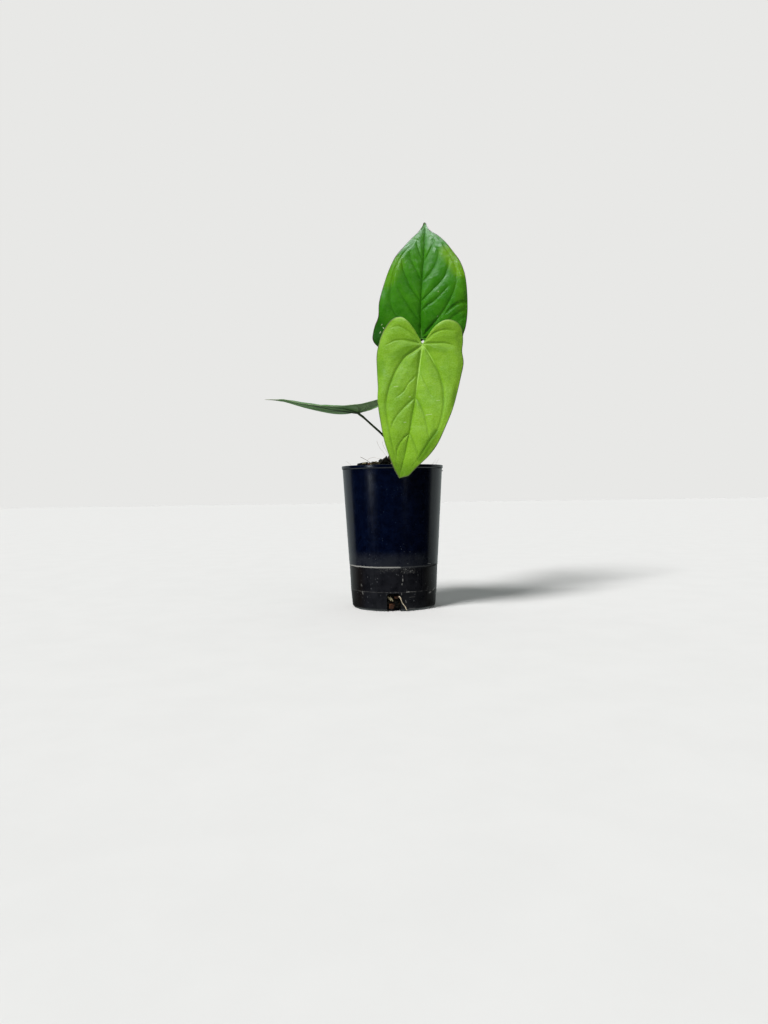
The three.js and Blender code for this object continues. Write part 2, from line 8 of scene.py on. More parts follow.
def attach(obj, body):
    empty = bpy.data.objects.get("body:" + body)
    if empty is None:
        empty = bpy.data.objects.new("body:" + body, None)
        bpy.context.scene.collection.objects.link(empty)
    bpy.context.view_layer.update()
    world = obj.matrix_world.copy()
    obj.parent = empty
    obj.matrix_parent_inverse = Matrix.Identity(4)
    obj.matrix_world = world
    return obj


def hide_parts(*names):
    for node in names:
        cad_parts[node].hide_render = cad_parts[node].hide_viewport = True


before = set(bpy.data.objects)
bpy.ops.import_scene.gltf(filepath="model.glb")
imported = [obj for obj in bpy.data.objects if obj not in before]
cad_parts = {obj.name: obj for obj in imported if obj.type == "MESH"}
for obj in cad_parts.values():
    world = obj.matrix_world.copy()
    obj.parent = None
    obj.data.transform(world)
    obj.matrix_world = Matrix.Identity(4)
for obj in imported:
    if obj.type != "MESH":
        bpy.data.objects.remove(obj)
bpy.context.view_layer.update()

# A young anthurium in a tall black nursery pot. Sizes are in millimetres, as in the solids that the
# pieces stand for, and become metres when a mesh is made. +Z is up and the front leaf faces -Y.

MM = 0.001


# Curves and noise

def smoothstep(x, low, high):
    t = np.clip((x - low) / (high - low), 0, 1)
    return t * t * (3 - 2 * t)


def unit(v):
    return v / np.linalg.norm(v, axis=-1, keepdims=True)


def run_length(points):
    steps = np.linalg.norm(np.diff(points, axis=0), axis=1)
    return np.concatenate([[0], np.cumsum(steps)])


def read_table(x, known, table):
    return np.stack([np.interp(x, known, column) for column in table.T], -1)


def curve(points, steps=40, centripetal=False):
    """A Catmull-Rom curve as many points, with even knots, or with centripetal ones and mirrored ends."""
    p = np.array(points, float)
    ends = [2 * p[:1] - p[1:2], 2 * p[-1:] - p[-2:-1]] if centripetal else [p[:1], p[-1:]]
    p = np.concatenate([ends[0], p, ends[1]])
    w = np.linspace(0, 1, steps, endpoint=False)[:, None]
    spans = []
    for p0, p1, p2, p3 in zip(p, p[1:], p[2:], p[3:]):
        knot = 0.5 if centripetal else 0
        d0, d1, d2 = [np.linalg.norm(b - a)**knot for a, b in ((p0, p1), (p1, p2), (p2, p3))]
        v0 = ((p1 - p0) / d0 - (p2 - p0) / (d0 + d1) + (p2 - p1) / d1) * d1
        v1 = ((p2 - p1) / d1 - (p3 - p1) / (d1 + d2) + (p3 - p2) / d2) * d1
        spans.append(p1 + v0 * w + (3 * (p2 - p1) - 2 * v0 - v1) * w**2 + (2 * (p1 - p2) + v0 + v1) * w**3)
    return np.concatenate(spans + [p[-2:-1]])


def respaced(points, count):
    """The same curve as count points, evenly spaced."""
    run = run_length(points)
    return read_table(np.linspace(0, run[-1], count), run, points)


def bent_path(points, count):
    """A smooth path through a few points, as count points, evenly spaced."""
    return respaced(curve(points, centripetal=True), count)


def around(sides):
    return np.linspace(0, 2 * math.pi, sides, endpoint=False)


def polar(centre, radius, angle, z):
    """Points at a radius and angle about a centre (x, y), at a height."""
    x, y = centre[0] + radius * np.cos(angle), centre[1] + radius * np.sin(angle)
    return np.stack(np.broadcast_arrays(x, y, z), -1)


def corner_shares(t):
    """The share that each corner of a unit cube has in places in it, corner by corner."""
    for corner in np.ndindex(2, 2, 2):
        yield np.array(corner), np.prod(np.where(np.array(corner) == 1, t, 1 - t), axis=-1)


def lattice(cell, seed):
    x, y, z = [cell[..., i].astype(np.int64) for i in range(3)]
    h = (x * 374761393 + y * 668265263 + z * 2246822519 + seed * 3266489917) & 0xFFFFFFFF
    h = ((h ^ (h >> 15)) * 2246822519) & 0xFFFFFFFF
    h = ((h ^ (h >> 13)) * 3266489917) & 0xFFFFFFFF
    return ((h ^ (h >> 16)) & 0xFFFFFF) / float(0xFFFFFF) * 2 - 1


def noise(points, size, seed=0, octaves=1):
    """Smooth value noise from -1 to 1, with features of a size, and finer ones for each octave."""
    total = 0
    for octave in range(octaves):
        p = np.asarray(points, float) * (2**octave / size)
        cell = np.floor(p)
        t = p - cell
        for corner, share in corner_shares(t * t * (3 - 2 * t)):
            total = total + share * lattice(cell + corner, seed + octave) / 2**octave
    return total


def skin_noise(along, angles, size, seed, octaves=1, layer=0):
    """Noise over the skin of a tube, for each (place along, angle)."""
    grid = np.meshgrid(along, angles, indexing="ij")
    return noise(np.stack([*grid, np.full_like(grid[0], layer)], -1), size, seed, octaves)


def seeded_random(seed):
    """The same stream of numbers from 0 to 1 as places the large chips in the solid mix."""
    state = seed

    def draw():
        nonlocal state
        state = (state + 0x6D2B79F5) & 0xFFFFFFFF
        bits = ((state ^ (state >> 15)) * (1 | state)) & 0xFFFFFFFF
        bits = ((bits + (((bits ^ (bits >> 7)) * (61 | bits)) & 0xFFFFFFFF)) & 0xFFFFFFFF) ^ bits
        return ((bits ^ (bits >> 14)) & 0xFFFFFFFF) / 2**32

    return draw


# Meshes

def linked(name, data):
    """A new object in the scene."""
    obj = bpy.data.objects.new(name, data)
    bpy.context.scene.collection.objects.link(obj)
    return obj


def mesh_of(name, points, faces):
    mesh = bpy.data.meshes.new(name)
    mesh.from_pydata((np.asarray(points) * MM).tolist(), [], faces)
    return mesh


class Shape:
    """Points, faces and values at the points, gathered from parts and made into one piece."""

    def __init__(self):
        self.points, self.faces, self.values, self.count = [], [], {}, 0

    def add(self, points, faces, **values):
        points = np.asarray(points, float).reshape(-1, 3)
        self.faces += [[i + self.count for i in face] for face in faces]
        self.points.append(points)
        for key, value in values.items():
            value = np.broadcast_to(value, (len(points),) + np.shape(value)[1:])
            self.values.setdefault(key, []).append(np.array(value, float))
        self.count += len(points)

    def piece(self, name, node, slot, material, sharp=None):
        mesh = mesh_of(name, np.concatenate(self.points), self.faces)
        for key, parts in self.values.items():
            data = np.concatenate(parts)
            kind, field = ("FLOAT", "value") if data.ndim == 1 else ("FLOAT_VECTOR", "vector")
            mesh.attributes.new(key, kind, "POINT").data.foreach_set(field, data.ravel())
        mesh.polygons.foreach_set("use_smooth", [True] * len(mesh.polygons))
        mesh.validate()
        if sharp:
            mesh.set_sharp_from_angle(angle=math.radians(sharp))
        mesh.materials.append(material)
        piece = linked(name, mesh)
        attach(piece, "root")
        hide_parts(node)
        return piece


def grid_faces(rows, columns, closed=False):
    """Quads between rows of points; closed joins the last column to the first."""
    faces = []
    for r in range(rows - 1):
        for c in range(columns if closed else columns - 1):
            a, b = r * columns + c, r * columns + (c + 1) % columns
            faces.append((a, b, b + columns, a + columns))
    return faces


def lofted(rings):
    """Rings of equally many points as a closed skin, with a fan over each end."""
    rings = np.asarray(rings, float)
    rows, columns = rings.shape[:2]
    points = np.concatenate([rings.reshape(-1, 3), rings[0].mean(0)[None], rings[-1].mean(0)[None]])
    faces = grid_faces(rows, columns, closed=True)
    low, high, last = rows * columns, rows * columns + 1, (rows - 1) * columns
    for c in range(columns):
        after = (c + 1) % columns
        faces += [(after, c, low), (last + c, last + after, high)]
    return points, faces


def tube(centres, radii, sides, section=1.0):
    """A closed tube round a path. section gives a share of the radius for each (point, side)."""
    centres = np.asarray(centres, float)
    ways = unit(np.gradient(centres, axis=0))
    across = [unit(np.cross(ways[0], [0.0, 0.0, 1.0] if abs(ways[0][2]) < 0.9 else [1.0, 0.0, 0.0]))]
    for way in ways[1:]:
        across.append(unit(across[-1] - way * np.dot(across[-1], way)))
    across = np.array(across)
    up = np.cross(ways, across)
    radii = np.broadcast_to(radii, len(centres))[:, None] * np.ones(sides) * section
    cos, sin = np.cos(around(sides))[None, :, None], np.sin(around(sides))[None, :, None]
    return lofted(centres[:, None] + radii[..., None] * (across[:, None] * cos + up[:, None] * sin))


# Materials

class Field:
    """A node's output, which can stand in sums and products."""

    def __init__(self, nodes, socket):
        self.nodes, self.socket = nodes, socket

    def __add__(self, other):
        return self.nodes.math("ADD", self, other)

    def __sub__(self, other):
        return self.nodes.math("SUBTRACT", self, other)

    def __mul__(self, other):
        return self.nodes.math("MULTIPLY", self, other)

    def __abs__(self):
        return self.nodes.math("ABSOLUTE", self)


class Nodes:
    """A node tree, built with one call for each node."""

    def __init__(self, tree):
        self.tree = tree

    def feed(self, socket, value):
        if isinstance(value, Field):
            self.tree.links.new(value.socket, socket)
        elif socket.type == "RGBA" and len(value) == 3:
            socket.default_value = (*value, 1)
        else:
            socket.default_value = value

    def node(self, kind, inputs, output=0, **settings):
        made = self.tree.nodes.new("ShaderNode" + kind)
        for key, value in settings.items():
            setattr(made, key, value)
        for key, value in inputs.items():
            self.feed(made.inputs[key], value)
        return None if output is None else Field(self, made.outputs[output])

    def math(self, operation, a, b=0.0):
        return self.node("Math", {0: a, 1: b}, operation=operation)

    def larger(self, a, b):
        return self.math("MAXIMUM", a, b)

    def vector(self, operation, a, b=(0, 0, 0)):
        output = "Value" if operation in ("DOT_PRODUCT", "LENGTH") else 0
        return self.node("VectorMath", {0: a, 1: b}, output, operation=operation)

    def scaled(self, vector, scale):
        return self.node("VectorMath", {0: vector, "Scale": scale}, operation="SCALE")

    def stretched(self, place, scales):
        return self.vector("MULTIPLY", place, scales)

    def axes(self, place):
        return [self.node("SeparateXYZ", {0: place}, axis) for axis in range(3)]

    def band(self, x, low, high, bottom=0, top=1):
        """Goes smoothly from bottom to top as x goes from low to high."""
        inputs = {0: x, 1: low, 2: high, 3: bottom, 4: top}
        return self.node("MapRange", inputs, interpolation_type="SMOOTHSTEP")

    def mix(self, share, a, b):
        return self.node("Mix", {0: share, 6: a, 7: b}, 2, data_type="RGBA")

    def tones(self, x, low, high, a, b):
        """Goes smoothly from colour a to colour b as x goes from low to high."""
        return self.mix(self.band(x, low, high), a, b)


class Material(Nodes):
    """A surface with a skin of nodes round one shader."""

    def __init__(self, name, **sockets):
        self.data = bpy.data.materials.new(name)
        self.data.use_nodes = True
        super().__init__(self.data.node_tree)
        self.shader = self.tree.nodes["Principled BSDF"]
        for socket, value in sockets.items():
            self.feed(self.shader.inputs[socket.replace("_", " ")], value)

    def object_place(self):
        """The point on the object, in millimetres."""
        return self.scaled(self.node("TexCoord", {}, "Object"), 1 / MM)

    def vector_of(self, name):
        return self.node("Attribute", {}, "Vector", attribute_name=name)

    def values(self, *names):
        """The values that the mesh holds at its points under these names."""
        return [self.node("Attribute", {}, "Fac", attribute_name=name) for name in names]

    def noise(self, place, size, detail=3, rough=0.5, distort=0, output=0):
        inputs = {"Vector": place, "Scale": 1 / size, "Detail": detail, "Roughness": rough}
        return self.node("TexNoise", {**inputs, "Distortion": distort}, output)

    def cells(self, place, size, feature="F1"):
        return self.node("TexVoronoi", {"Vector": place, "Scale": 1 / size}, "Distance", feature=feature)

    def mark(self, place, start, end, width, strength):
        """A mark from start to end on a place, fading over the outer part of its width."""
        start, end = Vector(start), Vector(end)
        step = end - start
        from_start = self.vector("SUBTRACT", place, start)
        share = self.math("DIVIDE", self.vector("DOT_PRODUCT", from_start, step), step.length_squared)
        nearest = self.scaled(step, self.node("Clamp", {0: share}))
        away = self.vector("LENGTH", self.vector("SUBTRACT", from_start, nearest))
        return self.band(away, width, width * 0.3, 0, strength)

    def finish(self, colour, roughness, relief, distance, strength):
        """Feeds the shader; the relief is times a distance in millimetres."""
        normal = self.node("Bump", {"Height": relief, "Distance": distance * MM, "Strength": strength})
        for socket, value in (("Base Color", colour), ("Roughness", roughness), ("Normal", normal)):
            self.feed(self.shader.inputs[socket], value)
        return self.data


# Leaf blades

# Each blade lies along a cubic Bezier midrib, from the stalk to the tip. "facing" is where its upper
# face looks at both ends. "fold" is the angle at which both halves rise from the midrib, at the stalk,
# on the way and at the tip. An outline goes from the sinus, round the lobe, to the tip.
# A vein has its share of the midrib's strength and the places (along, out) that it passes.
LEAVES = {
    "front": {
        "spine": [(27.5, -15, 229.4), (21.6, -27.3, 189.5), (15.3, -57.3, 148.9), (4.8, -58, 112.8)],
        "facing": [(0, -0.94, 0.34), (-0.05, -0.97, 0.2)],
        "right": {
            "outline": [
                (-13.2, 8.9), (-19.5, 15.2), (-23, 21.5), (-20.8, 28.6), (-13, 34), (-1, 37.3), (15, 38.2),
                (30, 36), (48, 32.8), (62, 31), (77, 27), (97, 19.9), (112, 12), (121, 5.8), (127, 0),
            ],
            "curl": 0,
            "ripple_phase": 1.8,
            "veins": [
                (0.5, [(0, 0), (-3, 2.7), (-6.6, 5.2), (-12, 8.9), (-16, 12.6)]),
                (0.62, [(0, 0), (-2.1, 3.2), (-7.6, 10), (-11.4, 16.6), (-14.1, 23.6), (-11, 30.1)]),
                (0.7, [(0, 0), (-0.4, 3.2), (-1, 11), (-1.3, 18.6), (0.6, 25), (5, 30.5)]),
                (1, [(0, 0), (2.8, 1.2), (8.8, 7.1), (15.3, 13.5), (22.9, 17.4), (31, 20.2), (39.9, 21.8),
                    (49.4, 23.2), (64.8, 23.4), (80, 19.8), (95, 14.6), (108, 8.8), (118, 4)]),
                (0.35, [(25, 0), (28.3, 1.1), (36, 4.1), (40.6, 7.2), (49.2, 10.4), (56, 15)]),
                (0.8, [(52.5, 0), (54.3, 1.1), (62.7, 6.7), (71.4, 11.6), (79.1, 14.6), (88, 15.8)]),
                (0.65, [(88, 0), (93.4, 3.7), (98.5, 5.9), (105.3, 7.1), (113, 5.8)]),
            ],
        },
        "left": {
            "outline": [
                (-14, 6.6), (-20.5, 11.6), (-24.6, 19), (-24, 27), (-18.5, 32.8), (-8, 34.8), (2, 35),
                (14, 37.3), (28, 36.3), (47, 34.3), (63, 32.2), (79, 28.6), (93, 24.8), (104, 19.7),
                (112, 14.4), (119, 10), (123, 7.4), (125.2, 3.6), (127, 0),
            ],
            "curl": 0,
            "ripple_phase": 0.6,
            "veins": [
                (0.5, [(0, 0), (-3, 2), (-7, 4), (-13, 6.9), (-18, 10.4)]),
                (0.62, [(0, 0), (-3.8, 2.8), (-10.4, 8.8), (-14.7, 17.1), (-15.5, 27.4)]),
                (0.7, [(0, 0), (-0.5, 2.3), (-1.7, 11.7), (-2.5, 21.7), (-0.5, 30.4)]),
                (1, [(0, 0), (2.5, 2.1), (8.4, 6.6), (19, 13.1), (28.6, 17.8), (39.2, 21.6), (55.2, 24.4),
                    (68.3, 24.4), (81.5, 22.6), (92.1, 18.1), (104.9, 13.1), (116, 8)]),
                (0.35, [(24.5, 0), (27, 1), (34.9, 4.4), (42.6, 8.7), (51, 14)]),
                (0.8, [(52.5, 0), (54, 1), (60.8, 5.5), (70.1, 10), (82.7, 14.4), (91.3, 17.5)]),
                (0.6, [(88, 0), (89.8, 1.4), (95.2, 5.1), (102.1, 9.1), (107, 11.4)]),
            ],
        },
        "fold": (6, 8, 10),
        "camber": 0.006,
        "lobe_lift": 2,
        "sinus_bow": 0,
        "sinus_pale": 0.65,
        "hollow": 0.5,
        "ripple": 0.9,
        "quilt": 1.85,
        "ridge_reach": 62,
    },
    "back": {
        "spine": [(28.5, 18, 241.3), (25.9, 18.9, 278.6), (35.1, 40.4, 324.8), (35.6, 68, 363.5)],
        "facing": [(0, -0.96, 0.26), (0, -0.85, 0.53)],
        "right": {
            "outline": [
                (-13.5, 11.5), (-21, 19), (-21.5, 28), (-13, 35.5), (-1, 38), (9, 41), (22, 42.8), (36, 43),
                (51, 41.8), (65, 39.4), (78, 35.4), (88, 30.4), (102, 20.8), (111, 13.4), (120.5, 5),
                (127.5, 2.2), (132.4, 1.4), (134, 0),
            ],
            "curl": 0,
            "ripple_phase": 2.2,
            "veins": [
                (0.62, [(0, 0), (-4, 4), (-10, 12), (-13.5, 21), (-11, 29)]),
                (0.7, [(0, 0), (0, 4), (-1, 14), (1, 24), (8, 33)]),
                (0.55, [(0, 0), (4, 3.5), (13, 12), (24, 20), (38, 27), (52, 31), (66, 31.5), (80, 28),
                    (95, 20), (108, 11.5), (119, 4)]),
                (0.7, [(25.2, 0), (26.5, 1), (31.2, 6.3), (34.9, 11.5), (42, 18), (50, 24)]),
                (0.9, [(35.5, 0), (42.1, 5.9), (48, 11), (54.3, 16), (60.8, 20.2), (70.7, 23.2),
                    (81.8, 23.7)]),
                (0.8, [(56, 0), (62, 4.9), (68.4, 9), (77.3, 12.2), (86.5, 13.6), (94, 12.4)]),
                (0.5, [(79, 0), (87.8, 3.9), (97.6, 7.3), (106, 8.6)]),
            ],
            # Folds: valleys without a rib, which also carry painted shade.
            "folds": [
                (0.6, [(17, 19.5), (22.6, 23.2), (28.9, 28.6), (34.2, 35.9), (35.5, 42)]),
                (0.32, [(9, 22), (14.5, 24.9), (20.8, 31.4), (26.5, 38.8), (28, 43.4)]),
                (0.2, [(5, 29), (12, 33), (18, 38), (20, 42)]),
            ],
        },
        "left": {
            "outline": [
                (-14, 9), (-20, 17), (-20, 26), (-13.5, 33), (-6, 37.5), (-1.6, 41.8), (3, 44.6), (8, 43.8),
                (13, 42), (20, 38.9), (32, 38.5), (48, 35.8), (63, 32.4), (79, 27.2), (92, 21.1),
                (101, 16.8), (110, 11.4), (117, 7), (123.5, 4), (129, 2), (132.4, 1.4), (134, 0),
            ],
            "curl": -6,
            "ripple_phase": 0,
            "veins": [
                (0.62, [(0, 0), (-4, 4), (-10, 12), (-14, 22), (-11, 32)]),
                (0.7, [(0, 0), (0, 4), (-1, 14), (0, 25), (4, 35)]),
                (0.55, [(0, 0), (4, 4), (11, 12), (18.5, 21), (27, 26.8), (37.7, 28.7), (50.3, 28.2),
                    (65, 26), (80, 21.5), (95, 14.5), (108, 8)]),
                (0.8, [(14.5, 0), (19.7, 4.3), (26.7, 9.7), (33.8, 14.4), (38.3, 17.2), (46, 21.5)]),
                (0.9, [(34.5, 0), (40.6, 4.8), (46.9, 9.6), (55.6, 13.8), (65.8, 18), (76.6, 20.2)]),
                (0.8, [(56.6, 0), (63.6, 4.3), (71.7, 8.6), (80, 12.2), (88, 13.4)]),
                (0.5, [(80, 0), (88, 4), (97, 6.8), (105, 7.6)]),
            ],
        },
        "fold": (8, 11, 14),
        "camber": 0.007,
        "lobe_lift": -1,
        "sinus_bow": 0.17,
        "sinus_pale": 0,
        "hollow": 0.15,
        "ripple": 1.1,
        "quilt": 1.75,
        "ridge_reach": 12,
    },
    "left": {
        "spine": [(-29, 0, 173.1), (-57.4, 3, 176.3), (-87.9, 11.5, 186.9), (-115.3, 15, 187.3)],
        "facing": [(0.05, 0, 1), (0, 0.084, 1)],
        "right": {
            "outline": [
                (-7, 1.6), (-14, 3.4), (-19.8, 8), (-22.2, 14), (-21.5, 19.5), (-16, 24.5), (-4, 27.2),
                (13, 28), (33, 25.5), (50, 20.6), (62, 13.6), (71, 6.8), (77, 2.4), (83, 0.9), (89, 0),
            ],
            "curl": 1.8,
            "ripple_phase": 0.6,
            "veins": [
                (0.62, [(0, 0), (-3, 4), (-7.5, 10), (-9.5, 17), (-7, 22)]),
                (0.7, [(0, 0), (0, 4), (0, 12), (2.5, 19), (7, 24)]),
                (1, [(0, 0), (4, 3.4), (12, 9.4), (22, 14), (34, 17.2), (47, 16.5), (60, 12), (72, 6.4)]),
                (0.6, [(15, 0), (20, 3.6), (27, 8), (33, 12)]),
                (0.8, [(29, 0), (35, 4), (43, 8), (52, 11)]),
                (0.7, [(48, 0), (54, 3.2), (62, 5.6), (69, 5.6)]),
            ],
        },
        "left": {
            "outline": [
                (-7, 1.6), (-14, 3.4), (-20.2, 8), (-22.6, 14), (-22, 19.5), (-16, 24.8), (-4, 27.6),
                (12, 28.2), (32, 26), (49, 21.1), (61, 14.1), (70, 7.2), (76.5, 2.5), (83, 0.9), (89, 0),
            ],
            "curl": -3.6,
            "ripple_phase": 2.2,
            "veins": [
                (0.62, [(0, 0), (-3, 4), (-8, 10), (-10.5, 17), (-8, 22.5)]),
                (0.7, [(0, 0), (-0.5, 4), (-1, 12), (1, 20), (5, 24.6)]),
                (1, [(0, 0), (4, 3.6), (12, 9.8), (22, 14.6), (34, 17.6), (47, 17), (60, 12.6), (72, 7)]),
                (0.6, [(18, 0), (23, 3.6), (30, 8), (37, 12.4)]),
                (0.8, [(33, 0), (39, 4), (47, 8), (56, 10.6)]),
                (0.7, [(52, 0), (58, 3.2), (65, 5.2), (71, 5.2)]),
            ],
        },
        "fold": (16.8, -13.4, 8),
        "camber": 0.0089,
        "lobe_lift": 7.8,
        "sinus_bow": 0,
        "sinus_pale": 0,
        "hollow": 0.3,
        "ripple": 0.3,
        "quilt": 0.6,
        "ridge_reach": 20,
    },
}

BLADE = {
    "half_thickness": 0.26,
    "rim": 0.7,  # distance from the margin over which the blade thins
    "thin_rim": 0.4,  # share of the thickness that is left at the margin
    "ripples": 3.3,
    "slant": 1.1,
    "bow": 0.15,
    "lobe_reach": 20,
    "columns": 60,
    "crowding": 1.25,  # how much closer the columns lie near the midrib
    "row_spacing": 0.62,
    "rib_height": 1.1,
    "ridge_height": 0.34,
    "line_depth": 0.1,
    "hollow_reach": 5.5,
    "sinus_share": 0.17,
}
MIDRIB_STRENGTH = 1.25


def fading(x, reach):
    """1 at 0, falling off smoothly within a few times the reach."""
    return np.exp(-(x / reach)**2)


class Blade:
    """The blade's middle surface: u along the midrib and v out to the side of a half."""

    def __init__(self, leaf):
        self.leaf = leaf
        a, b, c, d = np.array(leaf["spine"], float)
        t = np.linspace(0, 1, 401)[:, None]
        self.path = (1 - t)**3 * a + 3 * (1 - t)**2 * t * b + 3 * (1 - t) * t**2 * c + t**3 * d
        self.ways = unit((1 - t)**2 * (b - a) + 2 * (1 - t) * t * (c - b) + t**2 * (d - c))
        self.run = run_length(self.path)

    def at(self, u, v, hand, lift, curl):
        leaf, length = self.leaf, self.run[-1]
        share = np.clip(u / length, 0, 1)
        point = read_table(share * length, self.run, self.path)
        along = unit(read_table(share * length, self.run, self.ways))
        at_stalk, at_tip = np.array(leaf["facing"], float)
        face = at_stalk + (at_tip - at_stalk) * share[:, None]
        face = unit(face - along * (face * along).sum(-1, keepdims=True))
        side = np.cross(along, face) * hand
        low, middle, high = leaf["fold"]
        fold = (low + (middle - low) * share) * (1 - share) + (middle + (high - middle) * share) * share
        fold = np.radians(fold)
        bent = fold - leaf["camber"] * v
        across = (np.sin(fold) - np.sin(bent)) / leaf["camber"]
        up = (np.cos(bent) - np.cos(fold)) / leaf["camber"]
        behind, reach = np.minimum(0, u), BLADE["lobe_reach"]
        up = up + leaf["lobe_lift"] * np.abs(behind / reach)**1.4
        up = up + curl * (1 - smoothstep(u, -reach, reach)) * (v / 40)**2 + lift
        return point + along * behind[:, None] + side * across[:, None] + face * up[:, None]


def half_places(half, length, rows_per_length, sinus_bow):
    """A net of (u, v) places on one half, whose rows run from the midrib to the margin."""
    margin = curve(half["outline"])
    run = run_length(margin)
    t = run / run[-1]
    inner = np.maximum.accumulate(np.maximum(0, margin[:, 0] - BLADE["slant"] * margin[:, 1]))
    fan_end = np.flatnonzero(inner <= 0)[-1]
    fan_rows = round(run[fan_end] * rows_per_length)
    on_rib = np.linspace(0, length, round(length * rows_per_length) + 1)
    rim = np.interp(on_rib, np.append(inner[fan_end:], length), np.append(t[fan_end:], 1))
    row_t = np.concatenate([np.linspace(0, t[fan_end], fan_rows, endpoint=False), rim])
    start = np.concatenate([np.zeros(fan_rows), on_rib])
    start = np.stack([start, 0 * start], -1)
    outer = read_table(row_t, t, margin)
    chord = outer - start
    bow = BLADE["bow"] * smoothstep(outer[:, 0], -10, 30) - sinus_bow * (1 - smoothstep(row_t, 0, 0.06))
    control = start + chord / 2 + bow[:, None] * np.stack([-chord[:, 1], chord[:, 0]], -1)
    k = np.linspace(0, 1, BLADE["columns"])[None, :, None] ** BLADE["crowding"]
    places = start[:, None] * (1 - k)**2 + 2 * control[:, None] * k * (1 - k) + outer[:, None] * k**2
    return places, k[..., 0] * np.ones((len(row_t), 1)), row_t, outer[:, 1], np.linalg.norm(chord, axis=1)


def nearest_on_line(places, line):
    """Each place's distance to a line, and the share of the line at which it is nearest."""
    points = curve(line, 8)
    run = run_length(points)
    best = np.full(len(places), 1e9)
    share = np.zeros(len(places))
    for i, (a, b) in enumerate(zip(points, points[1:])):
        step = b - a
        t = np.clip(((places - a) @ step) / (step @ step), 0, 1)
        d = np.linalg.norm(places - a - t[:, None] * step, axis=1)
        closer = d < best
        best[closer] = d[closer]
        share[closer] = ((run[i] + t * (run[i + 1] - run[i])) / run[-1])[closer]
    return best, share


def vein_fields(leaf, half, places, length):
    """How strongly each place belongs to a vein's valley, its rib, its line and its raised ridge."""
    from_stalk = np.linalg.norm(places, axis=1)
    fields = {key: np.zeros(len(places)) for key in ("valley", "rib", "line", "ridge")}
    lines = [(MIDRIB_STRENGTH, [(0, 0), (length * 0.5, 0), (length, 0)])] + half["veins"]
    for i, (strength, line) in enumerate(lines):
        away, share = nearest_on_line(places, line)
        strong = strength * (1 - 0.72 * share) * (1 - 0.6 * smoothstep(share, 0.85, 1))
        full = np.clip(strong, 0, 1)
        crease = np.hypot(away, 0.4) - 0.4
        hollow = leaf["hollow"] * fading(away, BLADE["hollow_reach"])
        sides = np.maximum(np.exp(-crease / (1 + 1.5 * strong)), hollow)
        reach = leaf["ridge_reach"] * (1 if i == 0 else 0.5)
        near = (1 - smoothstep(from_stalk, reach * 0.5, reach)) * (1 if i == 0 else 0.75)
        parts = {
            "valley": np.clip(0.3 + 0.8 * strong, 0, 1) * sides,
            "rib": strong * fading(away, 0.4 + 0.5 * strong),
            "line": full**0.5 * fading(away, 0.22 + 0.3 * strong),
            "ridge": near * full * fading(away, 0.35 + 0.35 * strong),
        }
        for key, part in parts.items():
            fields[key] = np.maximum(fields[key], part)
    # Folds are valleys without a rib; they shape the blade and also darken its colour as painted shade.
    for strength, line in half.get("folds", []):
        away, share = nearest_on_line(places, line)
        part = strength * smoothstep(share, 0, 0.4) * fading(away, 1.7)
        fields["valley"] = np.maximum(fields["valley"], part)
    return fields


def vertex_normals(points, quads):
    normals = np.zeros_like(points)
    for a, b, c in ((0, 1, 2), (0, 2, 3)):
        corner = points[quads[:, a]]
        turn = np.cross(points[quads[:, b]] - corner, points[quads[:, c]] - corner)
        for i in (a, b, c):
            np.add.at(normals, quads[:, i], turn)
    return unit(normals)


def half_blade(leaf, side, hand, blade, length):
    """One half's points, faces and values, as a sheet without thickness."""
    half = leaf[side]
    net, k, row_t, width, reach = half_places(half, length, 1 / BLADE["row_spacing"], leaf["sinus_bow"])
    rows, columns = k.shape
    places, k = net.reshape(-1, 2), k.ravel()
    row_t, width, reach = [np.repeat(x, columns) for x in (row_t, width, reach)]
    from_rim = (1 - k) * reach
    fields = vein_fields(leaf, half, places, length)
    place = np.stack([places[:, 0], places[:, 1] * hand, 0 * k], -1)
    rippled = leaf["ripple"] * smoothstep(k, 0.5, 1) * np.minimum(1, width / 20)
    wave = np.sin(2 * math.pi * BLADE["ripples"] * row_t + half["ripple_phase"])
    swell = (1 - fields["valley"]) * (1 - fading(from_rim, 5)) * np.minimum(1, width / 14)
    swell = leaf["quilt"] * swell * (1 + 0.7 * fading(np.linalg.norm(places, axis=1), 26))
    uneven = 0.16 * noise(place, 5, 3, 2) + 0.3 * noise(place * [1, 0.6, 1], 13, 4)
    uneven = uneven * np.minimum(1, from_rim / 3) * (1 - 0.6 * fields["line"])
    lift = rippled * (wave + 0.3 * noise(place, 9, 5)) + swell + uneven
    points, bare = [blade.at(*places.T, hand, height, half["curl"]) for height in (lift, 0)]
    at_sinus = 1 - smoothstep(row_t, BLADE["sinus_share"] * 0.6, BLADE["sinus_share"])
    pale_band = leaf["sinus_pale"] * at_sinus * fading(from_rim - 1.5, 1.8)
    fields["ridge"] = np.maximum(fields["ridge"], pale_band)
    faces = np.array(grid_faces(rows, columns))[:, ::hand]
    return points, faces, {**fields, "from_rim": from_rim, "place": place, "bare": bare}


def two_sided(quads, count):
    """Faces for a sheet and its copy below, count points further on, with a wall round their edge."""
    faces, edges = [], {}
    for quad in quads.tolist():
        face = [p for i, p in enumerate(quad) if p != quad[i - 1]]
        if len(set(face)) < 3 or len(set(face)) != len(face):
            continue
        faces += [face, [p + count for p in reversed(face)]]
        for start, end in zip(face, face[1:] + face[:1]):
            if edges.pop((end, start), None) is None:
                edges[(start, end)] = True
    return faces + [(start, start + count, end + count, end) for start, end in edges]


